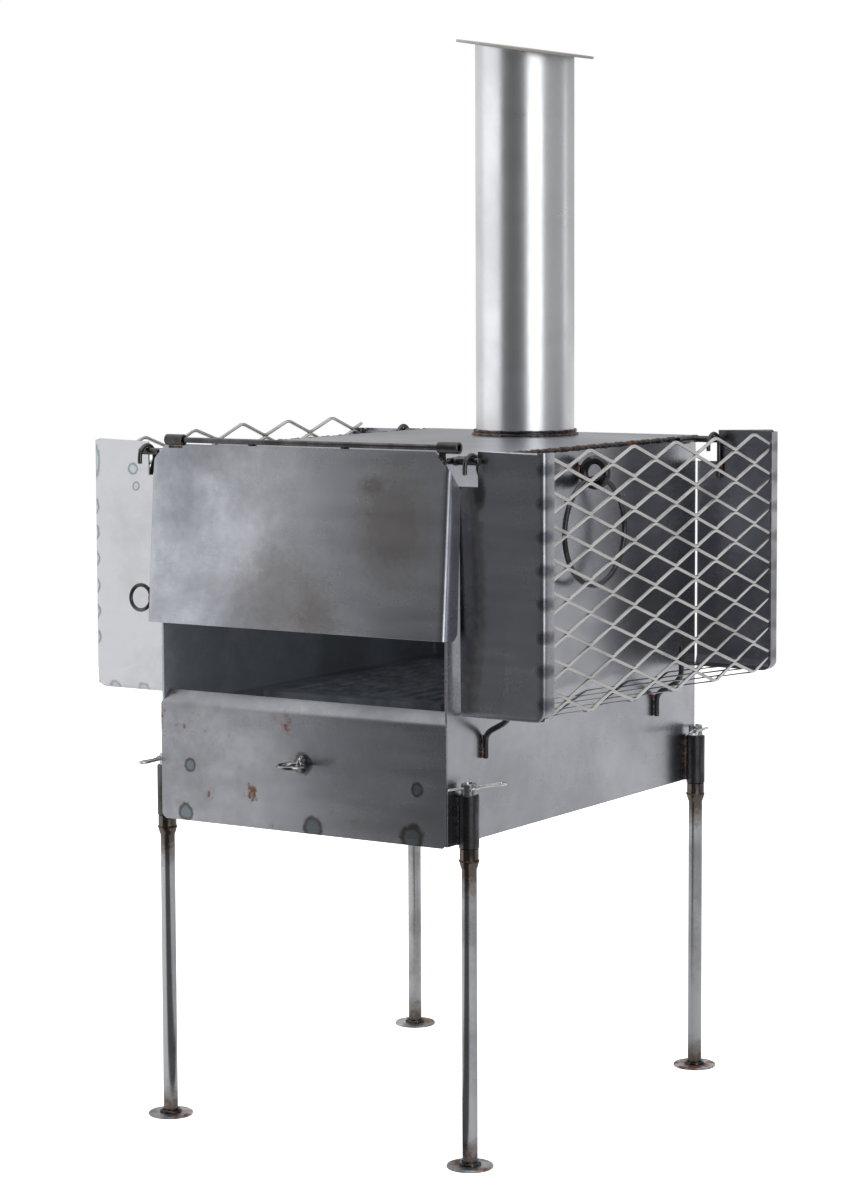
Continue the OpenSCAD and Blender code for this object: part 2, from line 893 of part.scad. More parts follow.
module plate_outline() {
  translate([basket_in, 0]) {
    translate([0, basket_corner])
      square([basket_w - thin_t, basket_h - notch_h - basket_corner]);
    translate([notch_w, basket_h - notch_h]) square([basket_w - thin_t - notch_w, notch_h]);
    square([basket_w - basket_corner, basket_corner]);
    intersection() {
      translate([basket_w - basket_corner, basket_corner]) circle(r = basket_corner);
      translate([basket_w - basket_corner, 0]) square([basket_corner - thin_t, basket_corner]);
    }
  }
}

// A plate with its outer face at y = 0 and its flanges towards +Y
module basket_plate() {
  translate([0, 0, basket_base]) upright(thin_t) plate_outline();
  translate([basket_out - thin_t, 0, basket_base + basket_corner])
    cube([thin_t, basket_flange, basket_h - basket_corner]);
  translate([basket_in, 0, basket_base])
    cube([basket_w - basket_corner, basket_flange, thin_t]);
}

module front_plate() {
  translate([0, basket_front, 0]) basket_plate();
}

module rear_plate() {
  translate([0, basket_rear, 0]) mirror([0, 1, 0]) basket_plate();
}

module left_front_plate() {
  color(steel_light) place() on_left() front_plate();
}

module right_front_plate() {
  color(steel_mid) place() front_plate();
}

module left_rear_plate() {
  color(steel_mid) place() on_left() rear_plate();
}

module right_rear_plate() {
  color(steel_mid) place() rear_plate();
}

module mesh_gap(u, v) {
  long = mesh_pitch / 2 * gap_share;
  short = row_h / 2 * gap_share;
  translate([u, v]) polygon([[long, 0], [0, short], [-long, 0], [0, -short]]);
}

// The mesh in the plane: u runs back from the front face, v down from the top edge
module mesh_plane(height, phase) {
  columns = ceil(2 * (mesh_back - phase) / mesh_pitch) - 1;
  rows = ceil(height / row_h);
  difference() {
    translate([mesh_front, -height]) square([mesh_len, height]);
    for (i = [0 : columns])
      for (j = [0 : rows])
        if ((j + (i + 1) % 2 / 2 - gap_share / 2) * row_h < height)
          mesh_gap(phase + i * mesh_pitch / 2, -(j + (i + 1) % 2 / 2) * row_h);
  }
}

module side_mesh(phase) {
  translate([basket_out - thin_t - mesh_t, 0, basket_top])
    sideways(mesh_t) mesh_plane(mesh_h, phase);
}

module floor_mesh(phase) {
  width = basket_w - thin_t - mesh_t;
  translate([basket_out - thin_t - mesh_t, 0, mesh_base])
    mirror([1, 0, 0])
      rotate([0, 0, 90])
        linear_extrude(height = mesh_t)
          mesh_plane(width, phase);
}

module left_side_mesh() {
  color(steel_light) place() on_left() side_mesh(left_phase);
}

module right_side_mesh() {
  color(steel_light) place() side_mesh(right_phase);
}

module left_floor_mesh() {
  color(steel_light) place() on_left() floor_mesh(left_phase);
}

module right_floor_mesh() {
  color(steel_light) place() floor_mesh(right_phase);
}

// A hook: stem behind the plate, bow over the peg, short end in front
module hook(stem_y, bow_x) {
  stem_x = basket_in + stem_out;
  wire([[stem_x, stem_y, stem_top - stem_len], [stem_x, stem_y, stem_top],
      [bow_x, stem_y, stem_top + hook_jog], [bow_x, stem_y, bow_z]], hook_d);
  translate([bow_x, stem_y - hook_r, bow_z])
    rotate([90, 0, 90])
      rotate_extrude(angle = half_turn, $fn = ring_facets)
        translate([hook_r, 0]) circle(d = hook_d, $fn = rod_facets);
  translate([bow_x, stem_y - 2 * hook_r, bow_z - hook_end])
    cylinder(h = hook_end, d = hook_d, $fn = rod_facets);
}

module stem_weld(y) {
  translate([basket_in + stem_out - hook_weld_w / 2, y, stem_top - stem_len])
    cube([hook_weld_w, hook_d / 2, stem_len]);
}

module basket_hooks() {
  hook(front_stem_y, basket_in + bow_out);
  stem_weld(mesh_front);
  hook(rear_stem_y, basket_in + stem_out);
  stem_weld(rear_stem_y);
}

module left_basket_hooks() {
  color(rod_hot) place() on_left() basket_hooks();
}

module right_basket_hooks() {
  color(rod_hot) place() basket_hooks();
}

// Flue pipe with its slanted end, and the loose cover plate on it

module flue_plane() {
  translate([0, flue_y, flue_top]) rotate([0, flue_slant, 0]) children();
}

module flue_pipe() {
  color(steel_light)
    place()
      difference() {
        translate([0, flue_y, plate_top]) cylinder(h = flue_top - plate_top + flue_d, d = flue_d);
        translate([0, flue_y, plate_top - cut_over])
          cylinder(h = flue_top - plate_top + 2 * flue_d, d = flue_d - 2 * flue_wall);
        flue_plane()
          translate([-flue_d, -flue_d, 0]) cube([2 * flue_d, 2 * flue_d, 2 * flue_d]);
      }
}

module flue_cover() {
  color(steel_light) place() flue_plane() cylinder(h = cover_t, d = cover_d);
}

bottom_plate();
left_wall();
right_wall();
rear_panel();
top_plate();
floor_plate();
fire_grate();
flue_collar();
hinge_rod();
rod_supports();
hanger_pegs();
floor_hooks();
floor_hook_welds();
left_eye();
right_eye();
front_left_socket();
front_right_socket();
rear_left_socket();
rear_right_socket();
front_left_leg();
front_right_leg();
rear_left_leg();
rear_right_leg();
front_left_foot();
front_right_foot();
rear_left_foot();
rear_right_foot();
door_sheet();
left_knuckle();
right_knuckle();
hinge_tabs();
door_ring();
drawer_front();
ash_tray();
tray_ends();
drawer_pull();
left_front_plate();
left_rear_plate();
left_side_mesh();
left_floor_mesh();
left_basket_hooks();
right_front_plate();
right_rear_plate();
right_side_mesh();
right_floor_mesh();
right_basket_hooks();
left_drop_ring();
right_drop_ring();
front_left_clip();
front_right_clip();
rear_left_clip();
rear_right_clip();
flue_pipe();
flue_cover();
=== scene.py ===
"""Looks of a wood-fired tent sauna stove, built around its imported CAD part."""
import math

import bmesh
import bpy
import numpy as np
from mathutils import Matrix, Vector


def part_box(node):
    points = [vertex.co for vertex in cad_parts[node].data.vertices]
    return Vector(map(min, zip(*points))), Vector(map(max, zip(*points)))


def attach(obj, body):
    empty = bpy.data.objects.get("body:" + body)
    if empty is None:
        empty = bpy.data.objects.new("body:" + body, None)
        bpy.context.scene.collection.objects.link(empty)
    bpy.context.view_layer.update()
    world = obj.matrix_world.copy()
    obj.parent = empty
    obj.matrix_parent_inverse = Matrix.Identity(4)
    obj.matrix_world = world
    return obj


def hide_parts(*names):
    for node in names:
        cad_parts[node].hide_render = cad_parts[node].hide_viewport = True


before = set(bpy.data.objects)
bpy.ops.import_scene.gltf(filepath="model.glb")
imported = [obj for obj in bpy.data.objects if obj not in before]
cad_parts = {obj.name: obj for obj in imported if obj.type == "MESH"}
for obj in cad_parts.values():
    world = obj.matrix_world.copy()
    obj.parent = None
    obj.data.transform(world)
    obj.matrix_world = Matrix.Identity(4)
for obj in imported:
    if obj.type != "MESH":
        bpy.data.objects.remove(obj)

bl_info = {
    "name": "Tent Sauna Stove",
    "version": (1, 0, 0),
    "blender": (4, 5, 0),
    "location": "View3D > Sidebar > Stove",
    "description": "Builds the visible pieces of a wood-fired tent sauna stove around its CAD part",
    "category": "Add Mesh",
}

MM = 0.001
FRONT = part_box("drawer_front")[0][1]
SIDES = {"left": -1, "right": 1}


def span(node):
    """Lowest and highest corner of a CAD node in millimetres, with y counted back from the front face."""
    shift = np.array([0, FRONT, 0])
    return [(np.array(corner) - shift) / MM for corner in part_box(node)]


def at(x, y, z):
    """Point in metres from millimetres: x from the middle, y back from the front face, z from the ground."""
    x, y, z = np.broadcast_arrays(np.asarray(x, float), y, z)
    return np.stack([x * MM, y * MM + FRONT, z * MM], -1)


HALF_W = span("top_plate")[1][0]
PLATE_TOP = span("top_plate")[1][2]
HINGE_Z = span("hinge_rod")[0][2] + (span("hinge_rod")[1][2] - span("hinge_rod")[0][2]) / 2

# Directions in the shared frame, and the widths of broken edges in metres
ACROSS, BACKWARD, UPWARD = (1, 0, 0), (0, 1, 0), (0, 0, 1)
THIN_EDGE, WALL_EDGE, PLATE_EDGE = 0.0003, 0.0004, 0.0005


# Sizes and colours that a user would change

class StoveSizes(bpy.types.PropertyGroup):
    """Sizes of the finish: bends, rods, strands and weld beads."""
    thin_sheet: bpy.props.FloatProperty(
        name="Thin sheet", description="Thickness of the door, the drawer panel and the basket plates",
        default=0.002, min=0.001, max=0.003, unit="LENGTH", subtype="DISTANCE")
    thick_sheet: bpy.props.FloatProperty(
        name="Thick sheet", description="Thickness of the firebox sheets",
        default=(HALF_W - span("right_wall")[0][0]) * MM, min=0.002, max=0.004, unit="LENGTH",
        subtype="DISTANCE")
    bend: bpy.props.FloatProperty(
        name="Bend radius", description="Outer radius of the bends in the sheets",
        default=0.0052, min=0.0025, max=0.006, unit="LENGTH", subtype="DISTANCE")
    strand_width: bpy.props.FloatProperty(
        name="Strand width", description="Width of the expanded metal's strands",
        default=0.0035, min=0.003, max=0.006, unit="LENGTH", subtype="DISTANCE")
    strand_thickness: bpy.props.FloatProperty(
        name="Strand thickness", description="Thickness of the expanded metal's sheet",
        default=0.003, min=0.001, max=0.0035, unit="LENGTH", subtype="DISTANCE")
    strand_tilt: bpy.props.FloatProperty(
        name="Strand tilt", description="Angle by which the strands stand out of the mesh's plane",
        default=math.radians(14), min=0, max=math.radians(70), unit="ROTATION", subtype="ANGLE")
    bond: bpy.props.FloatProperty(
        name="Bond length", description="Length over which two strands are joined",
        default=0.006, min=0.004, max=0.02, unit="LENGTH", subtype="DISTANCE")
    bead: bpy.props.FloatProperty(
        name="Weld bead", description="Radius of an ordinary weld bead",
        default=0.0022, min=0.001, max=0.004, unit="LENGTH", subtype="DISTANCE")
    lean: bpy.props.FloatProperty(
        name="Door lean", description="Angle at which the door stands out from the firebox",
        default=math.radians(4.3), min=0, max=math.radians(6), unit="ROTATION", subtype="ANGLE")
    slant: bpy.props.FloatProperty(
        name="Flue slant", description="Slope of the flue's cut end and of the cover plate",
        default=math.radians(8.8), min=0, max=math.radians(15), unit="ROTATION", subtype="ANGLE")


def colour(label, words, value):
    """One colour property with its name, description and default."""
    return bpy.props.FloatVectorProperty(
        name=label, description=words, default=value, min=0, max=1, size=3, subtype="COLOR")


def toned(tone, factor):
    """A colour made darker or lighter by a factor."""
    return [c * factor for c in tone]


class StoveColours(bpy.types.PropertyGroup):
    """Colours of the bare steel, its heat marks and the stage."""
    steel_light: colour("Steel, light", "Light patches of the firebox sheet", (0.485, 0.50, 0.54))
    steel_dark: colour("Steel, dark", "Dark patches of the firebox sheet", (0.28, 0.29, 0.32))
    bright_light: colour("Basket sheet, light", "Light patches of the basket plates", (0.50, 0.51, 0.53))
    bright_dark: colour("Basket sheet, dark", "Dark patches of the basket plates", (0.38, 0.39, 0.41))
    mesh: colour("Mesh", "Strands of the expanded metal", (0.62, 0.61, 0.60))
    tube: colour("Tube", "Legs and flue pipe", (0.76, 0.775, 0.80))
    rod: colour("Rod", "Hot-rolled rods, hooks and rings", (0.05, 0.048, 0.05))
    rust: colour("Rust", "Rust and burnt weld edges", (0.24, 0.105, 0.045))
    blue: colour("Heat blue", "Blue core of a heat mark", (0.105, 0.125, 0.165))
    straw: colour("Heat straw", "Straw ring of a heat mark", (0.27, 0.185, 0.125))
    cover: colour("Cover plate", "Matte cover on the flue", (0.43, 0.42, 0.39))
    zinc: colour("Zinc", "Plated clips", (0.80, 0.80, 0.80))
    pale_blue: colour("Pale heat blue", "Light core of a heat mark on the bright sheet", (0.44, 0.50, 0.53))
    pale_ring: colour("Pale heat ring", "Grey ring of a heat mark on the bright sheet", (0.14, 0.155, 0.18))
    brown: colour("Scale brown", "Brown mill scale and burnt patches", (0.17, 0.14, 0.12))
    chamber: colour("Fire chamber", "Blue-grey scale inside the firebox", (0.20, 0.22, 0.25))
    floor: colour("Floor", "Floor under the stove", (0.86, 0.86, 0.86))


# Shapes, all worked out as whole arrays

def grid_faces(rows, cols, wrap_rows=False, wrap_cols=False):
    """Quads of a grid: each joins a point, its neighbour along the row, the point behind that and its own."""
    row = np.arange(rows if wrap_rows else rows - 1)[:, None]
    col = np.arange(cols if wrap_cols else cols - 1)[None, :]
    here, side = row * cols + col, row * cols + (col + 1) % cols
    behind, across = (row + 1) % rows * cols + col, (row + 1) % rows * cols + (col + 1) % cols
    return np.stack([here, side, across, behind], -1).reshape(-1, 4)


def unit(vectors):
    """Vectors divided by their lengths."""
    vectors = np.asarray(vectors, float)
    return vectors / np.maximum(np.linalg.norm(vectors, axis=-1, keepdims=True), 1e-12)


def rounded(points, radius, steps):
    """A polyline with its corners rounded: each corner becomes a parabola between two points on its legs,
    (1-t)^2 A + 2t(1-t) B + t^2 C, which start at the radius or at half a leg from the corner."""
    points = np.asarray(points, float)
    before, corner, after = points[:-2], points[1:-1], points[2:]
    reach = np.minimum(radius, 0.48 * np.minimum(
        np.linalg.norm(corner - before, axis=1), np.linalg.norm(after - corner, axis=1)))[:, None]
    start, end = corner - unit(corner - before) * reach, corner + unit(after - corner) * reach
    t = np.linspace(0, 1, steps)[None, :, None]
    curve = (1 - t) ** 2 * start[:, None] + 2 * t * (1 - t) * corner[:, None] + t ** 2 * end[:, None]
    return np.concatenate([points[:1], curve.reshape(-1, 3), points[-1:]])


def sweep(path, radius, across, sides, closed=False):
    """A round section carried along a path: path + radius (cos a side + sin a up), where side stands square
    to the path and to the direction across. Open ends get a small chamfer and a cap."""
    chamfer_share, end_share = 0.25, 0.78
    path = np.asarray(path, float)
    radius = np.broadcast_to(np.asarray(radius, float), len(path)).copy()
    if closed:
        along = unit(np.roll(path, -1, 0) - np.roll(path, 1, 0))
    else:
        along = unit(np.gradient(path, axis=0))
        chamfer = chamfer_share * radius[[0, -1]][:, None]
        inner = path[[0, -1]] + np.array([1, -1])[:, None] * along[[0, -1]] * chamfer
        path = np.concatenate([path[:1], inner[:1], path[1:-1], inner[1:], path[-1:]])
        radius = np.concatenate([radius[:1] * end_share, radius, radius[-1:] * end_share])
        along = np.concatenate([along[:1], along, along[-1:]])
    side = unit(np.cross(along, across))
    up = np.cross(side, along)
    turn = np.linspace(0, 2 * np.pi, sides, endpoint=False)
    section = np.stack([np.cos(turn), np.sin(turn)], -1)
    points = path[:, None] + radius[:, None, None] * (
        section[None, :, :1] * side[:, None] + section[None, :, 1:] * up[:, None])
    faces = grid_faces(len(path), sides, closed, True).tolist()
    if not closed:
        last = (len(path) - 1) * sides
        faces += [list(range(sides))[::-1], [last + i for i in range(sides)]]
    return points.reshape(-1, 3), faces


def lathe(profile, centre, segments, axis=UPWARD, closed=False):
    """A profile of (radius, height) pairs turned about an axis: centre + height axis + radius (cos a first
    + sin a second)."""
    profile = np.asarray(profile, float)
    axis = unit(axis)
    first = unit(np.cross(axis, BACKWARD if abs(axis[1]) < 0.9 else ACROSS))
    second = np.cross(axis, first)
    turn = np.linspace(0, 2 * np.pi, segments, endpoint=False)
    circle = np.cos(turn)[:, None] * first + np.sin(turn)[:, None] * second
    points = np.asarray(centre) + profile[:, None, 1:] * axis + profile[:, None, :1] * circle[None]
    return points.reshape(-1, 3), grid_faces(len(profile), segments, closed, True).tolist()


def tube_profile(outer, inner, low, high, edge):
    """Closed profile of a tube's wall with broken edges."""
    return [(outer, low + edge), (outer, high - edge), (outer - edge, high), (inner + edge, high),
            (inner, high - edge), (inner, low + edge), (inner + edge, low), (outer - edge, low)]


def ring_path(centre, radius, first, second, steps=64):
    """Circle: centre + radius (cos a first + sin a second)."""
    turn = np.linspace(0, 2 * np.pi, steps, endpoint=False)[:, None]
    return np.asarray(centre) + radius * (np.cos(turn) * unit(first) + np.sin(turn) * unit(second))


def line(start, end, steps):
    """Straight row of points from start to end."""
    t = np.linspace(0, 1, steps)[:, None]
    return np.asarray(start) * (1 - t) + np.asarray(end) * t


def bead(path, radius, across, pitch, closed=False, seed=0.0):
    """A weld bead: a tube whose radius swells once per pitch and wanders a little along the path."""
    path = np.asarray(path, float)
    steps = np.linalg.norm(np.diff(path, axis=0), axis=1)
    run = np.concatenate([[0], np.cumsum(steps)])
    scallop = np.abs(np.sin(np.pi * run / pitch + seed))
    wander = 0.12 * np.sin(run * 210 + seed * 5) + 0.08 * np.sin(run * 523 + seed)
    return sweep(path, radius * (0.82 + 0.2 * scallop + wander), across, 10, closed)


def joined(*parts):
    """Several (points, faces) shapes put into one."""
    points, faces, base = [], [], 0
    for some_points, some_faces in parts:
        points.append(np.asarray(some_points).reshape(-1, 3))
        faces += [[base + i for i in face] for face in some_faces]
        base += len(points[-1])
    return np.concatenate(points), faces


def mirrored(shape):
    """The same shape on the other side of the middle, with its faces turned back outwards."""
    points, faces = shape
    return points * [-1, 1, 1], [list(face)[::-1] for face in faces]


def on_side(shape, side):
    """The shape, drawn on the right, put on the named side."""
    return shape if SIDES[side] > 0 else mirrored(shape)


def slab(outline, thickness_vector):
    """An outline carried along a straight path, closed by its two end faces."""
    outline = np.asarray(outline, float)
    count = len(outline)
    points = np.stack([outline, outline + thickness_vector])
    faces = grid_faces(2, count, False, True).tolist()
    faces += [list(range(count))[::-1], [count + i for i in range(count)]]
    return points.reshape(-1, 3), faces


def piece(name, body, replaced, shape, material, thickness=0, bevel=0, angle=35, inner=None):
    """Puts a shape into the scene as one object that rides on a CAD body and stands for CAD nodes."""
    points, faces = shape
    mesh = bpy.data.meshes.new(name)
    mesh.from_pydata(np.asarray(points).tolist(), [], [list(map(int, face)) for face in faces])
    tidy = bmesh.new()
    tidy.from_mesh(mesh)
    bmesh.ops.remove_doubles(tidy, verts=tidy.verts, dist=1e-6)
    bmesh.ops.dissolve_degenerate(tidy, edges=tidy.edges, dist=1e-7)
    if not thickness:
        bmesh.ops.recalc_face_normals(tidy, faces=tidy.faces)
    tidy.to_mesh(mesh)
    tidy.free()
    mesh.shade_smooth()
    mesh.set_sharp_from_angle(angle=math.radians(angle))
    mesh.materials.append(material)
    made = bpy.data.objects.new(name, mesh)
    bpy.context.scene.collection.objects.link(made)
    if thickness:
        wall = made.modifiers.new("Sheet", "SOLIDIFY")
        wall.thickness = thickness
        wall.offset = -1
        if inner:
            mesh.materials.append(inner)
            wall.material_offset = 1
    if bevel:
        edge = made.modifiers.new("Broken edges", "BEVEL")
        edge.width = bevel
        edge.segments = 2
        edge.limit_method = "ANGLE"
        edge.angle_limit = math.radians(40)
        edge.harden_normals = True
    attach(made, body)
    if replaced:
        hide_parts(*replaced)
    return made


def finish(node, material):
    """Puts a material on a CAD node that is shown as it is."""
    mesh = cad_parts[node].data
    mesh.materials.clear()
    mesh.materials.append(material)


# Materials

def put(tree, kind, inputs=None, **settings):
    """Adds a node, sets it, and gives its inputs values or links."""
    node = tree.nodes.new(kind)
    for key, value in settings.items():
        setattr(node, key, value)
    for key, value in (inputs or {}).items():
        if isinstance(value, bpy.types.NodeSocket):
            tree.links.new(value, node.inputs[key])
        elif isinstance(node.inputs[key].default_value, (int, float)):
            node.inputs[key].default_value = value
        else:
            value = tuple(value)
            wanted = len(node.inputs[key].default_value)
            node.inputs[key].default_value = value + (1,) * (wanted - len(value))
    return node


def calc(tree, operation, first, second, clamp=False):
    """Output of one math node."""
    return put(tree, "ShaderNodeMath", {0: first, 1: second}, operation=operation, use_clamp=clamp).outputs[0]


def smooth(tree, value, low, high, to_low=0.0, to_high=1.0):
    """Value mapped smoothly from one range to another and held at its ends."""
    return put(tree, "ShaderNodeMapRange", {"Value": value, 1: low, 2: high, 3: to_low, 4: to_high},
               interpolation_type="SMOOTHSTEP").outputs[0]


def mix(tree, factor, first, second):
    """Two colours mixed by a factor."""
    node = put(tree, "ShaderNodeMix", {0: factor}, data_type="RGBA")
    for index, value in ((6, first), (7, second)):
        if isinstance(value, bpy.types.NodeSocket):
            tree.links.new(value, node.inputs[index])
        else:
            node.inputs[index].default_value = tuple(value)[:3] + (1,)
    return node.outputs[2]


def noise(tree, vector, scale, detail, roughness, distortion=0.0):
    """Noise between 0 and 1 at a place."""
    return put(tree, "ShaderNodeTexNoise", {"Vector": vector, "Scale": scale, "Detail": detail,
                                            "Roughness": roughness, "Distortion": distortion}).outputs[0]


def stretched(tree, vector, scale, turn=(0, 0, 0)):
    """The place turned and then scaled, for patterns that run one way."""
    turned = put(tree, "ShaderNodeMapping", {"Vector": vector, "Rotation": turn})
    return put(tree, "ShaderNodeMapping", {"Vector": turned.outputs[0], "Scale": scale}).outputs[0]


def new_group(name, inputs, outputs):
    """An empty node group with named sockets. Each input is (name, kind, default)."""
    tree = bpy.data.node_groups.new(name, "ShaderNodeTree")
    for label, kind, default in inputs:
        socket = tree.interface.new_socket(label, in_out="INPUT", socket_type="NodeSocket" + kind)
        socket.default_value = default
    for label, kind in outputs:
        tree.interface.new_socket(label, in_out="OUTPUT", socket_type="NodeSocket" + kind)
    return tree, tree.nodes.new("NodeGroupInput").outputs, tree.nodes.new("NodeGroupOutput").inputs


def mill_clouds():
    """Group: cloudy light and dark patches of rolled sheet, with fine mottling, at a place."""
    tree, given, result = new_group(
        "Mill clouds",
        [("Vector", "Vector", (0, 0, 0)), ("Size", "Float", 6.0), ("Light", "Color", (0.6, 0.6, 0.6, 1)),
         ("Dark", "Color", (0.3, 0.3, 0.3, 1)), ("Balance", "Float", 0.5), ("Spread", "Float", 0.16)],
        [("Color", "Color"), ("Mask", "Float")])
    big = noise(tree, given["Vector"], given["Size"], 6, 0.55, 0.15)
    fine = noise(tree, given["Vector"], calc(tree, "MULTIPLY", given["Size"], 14), 5, 0.65)
    low = calc(tree, "SUBTRACT", given["Balance"], given["Spread"])
    high = calc(tree, "ADD", given["Balance"], given["Spread"])
    patches = smooth(tree, big, low, high)
    mask = calc(tree, "ADD", patches, calc(tree, "MULTIPLY", calc(tree, "SUBTRACT", fine, 0.5), 0.5), True)
    tree.links.new(mix(tree, mask, given["Dark"], given["Light"]), result["Color"])
    tree.links.new(mask, result["Mask"])
    return tree


def scratches():
    """Group: thin broken lines in two directions, from noise stretched along them."""
    tree, given, result = new_group(
        "Scratches", [("Vector", "Vector", (0, 0, 0)), ("Amount", "Float", 0.5), ("Size", "Float", 1.0)],
        [("Mask", "Float")])
    scaled = put(tree, "ShaderNodeVectorMath", {0: given["Vector"], 1: given["Size"]}, operation="MULTIPLY")
    level = stretched(tree, scaled.outputs[0], (5, 5, 700), (0.1, 0.35, 0.2))
    first = noise(tree, level, 1.0, 2, 0.6, 0.1)
    steep = stretched(tree, scaled.outputs[0], (520, 520, 7), (0.22, -0.5, 0.1))
    second = noise(tree, steep, 1.0, 2, 0.6, 0.1)
    limit = calc(tree, "SUBTRACT", 0.80, calc(tree, "MULTIPLY", given["Amount"], 0.12))
    high = calc(tree, "ADD", limit, 0.05)
    lines = calc(tree, "MAXIMUM", smooth(tree, first, limit, high), smooth(tree, second, limit, high))
    tree.links.new(lines, result["Mask"])
    return tree


def heat_mark():
    """Group: a round heat mark, blue in the middle, straw and brown around it, laid over a colour."""
    tree, given, result = new_group(
        "Heat mark",
        [("Base", "Color", (0.5, 0.5, 0.5, 1)), ("Vector", "Vector", (0, 0, 0)),
         ("Centre", "Vector", (0, 0, 0)), ("Radius", "Float", 0.01), ("Stretch", "Vector", (1, 1, 1)),
         ("Blue", "Color", (0.13, 0.17, 0.26, 1)), ("Straw", "Color", (0.46, 0.31, 0.17, 1)),
         ("Strength", "Float", 1.0)],
        [("Color", "Color"), ("Mask", "Float")])
    away = put(tree, "ShaderNodeVectorMath", {0: given["Vector"], 1: given["Centre"]}, operation="SUBTRACT")
    away = put(tree, "ShaderNodeVectorMath", {0: away.outputs[0], 1: given["Stretch"]}, operation="MULTIPLY")
    length = put(tree, "ShaderNodeVectorMath", {0: away.outputs[0]}, operation="LENGTH").outputs["Value"]
    ragged = calc(tree, "SUBTRACT", noise(tree, given["Vector"], 160, 4, 0.6), 0.5)
    wobble = calc(tree, "MULTIPLY", ragged, 0.7)
    reach = calc(tree, "ADD", calc(tree, "DIVIDE", length, given["Radius"]), wobble)
    core = calc(tree, "MULTIPLY", smooth(tree, reach, 0.78, 0.5), given["Strength"])
    ring = calc(tree, "MULTIPLY", smooth(tree, reach, 1.15, 0.8), given["Strength"])
    halo = calc(tree, "MULTIPLY", ring, 0.8)
    burnt = mix(tree, halo, given["Base"], given["Straw"])
    tree.links.new(mix(tree, core, burnt, given["Blue"]), result["Color"])
    tree.links.new(ring, result["Mask"])
    return tree


def rust_specks():
    """Group: rust in small specks and stains, laid over a colour."""
    tree, given, result = new_group(
        "Rust specks",
        [("Base", "Color", (0.5, 0.5, 0.5, 1)), ("Vector", "Vector", (0, 0, 0)), ("Size", "Float", 60.0),
         ("Amount", "Float", 0.3), ("Rust", "Color", (0.24, 0.105, 0.045, 1))],
        [("Color", "Color"), ("Mask", "Float")])
    specks = noise(tree, given["Vector"], given["Size"], 6, 0.7)
    field = noise(tree, given["Vector"], calc(tree, "MULTIPLY", given["Size"], 0.12), 3, 0.5)
    limit = calc(tree, "SUBTRACT", 0.86, calc(tree, "MULTIPLY", given["Amount"], 0.36))
    both = calc(tree, "ADD", calc(tree, "MULTIPLY", specks, 0.7), calc(tree, "MULTIPLY", field, 0.45))
    mask = smooth(tree, both, limit, calc(tree, "ADD", limit, 0.09))
    cover = calc(tree, "MULTIPLY", mask, 0.85)
    tree.links.new(mix(tree, cover, given["Base"], given["Rust"]), result["Color"])
    tree.links.new(mask, result["Mask"])
    return tree


def sheet_grain():
    """Group: the fine rolled grain's height and its share in the roughness."""
    tree, given, result = new_group(
        "Sheet grain",
        [("Vector", "Vector", (0, 0, 0)), ("Roughness", "Float", 0.35), ("Change", "Float", 0.12),
         ("Mask", "Float", 0.5)],
        [("Roughness", "Float"), ("Height", "Float")])
    rolled = noise(tree, stretched(tree, given["Vector"], (9, 9, 60)), 1.0, 2, 0.5)
    pits = noise(tree, given["Vector"], 300, 1, 0.5)
    height = calc(tree, "ADD", calc(tree, "MULTIPLY", rolled, 0.5), calc(tree, "MULTIPLY", pits, 0.5))
    change = calc(tree, "ADD", calc(tree, "SUBTRACT", 0.5, given["Mask"]),
                  calc(tree, "SUBTRACT", rolled, 0.5))
    rough = calc(tree, "ADD", given["Roughness"], calc(tree, "MULTIPLY", change, given["Change"]), True)
    tree.links.new(rough, result["Roughness"])
    tree.links.new(height, result["Height"])
    return tree


GROUP_MAKERS = {"Mill clouds": mill_clouds, "Scratches": scratches, "Heat mark": heat_mark,
                "Rust specks": rust_specks, "Sheet grain": sheet_grain}


def use(tree, name, **inputs):
    """Places a shared group in a material with its own values."""
    group = bpy.data.node_groups.get(name) or GROUP_MAKERS[name]()
    node = tree.nodes.new("ShaderNodeGroup")
    node.node_tree = group
    for key, value in inputs.items():
        socket = node.inputs[key.replace("_", " ")]
        if isinstance(value, bpy.types.NodeSocket):
            tree.links.new(value, socket)
        elif isinstance(value, (int, float)):
            socket.default_value = value
        else:
            value = tuple(value)
            socket.default_value = value + (1,) * (len(socket.default_value) - len(value))
    return node


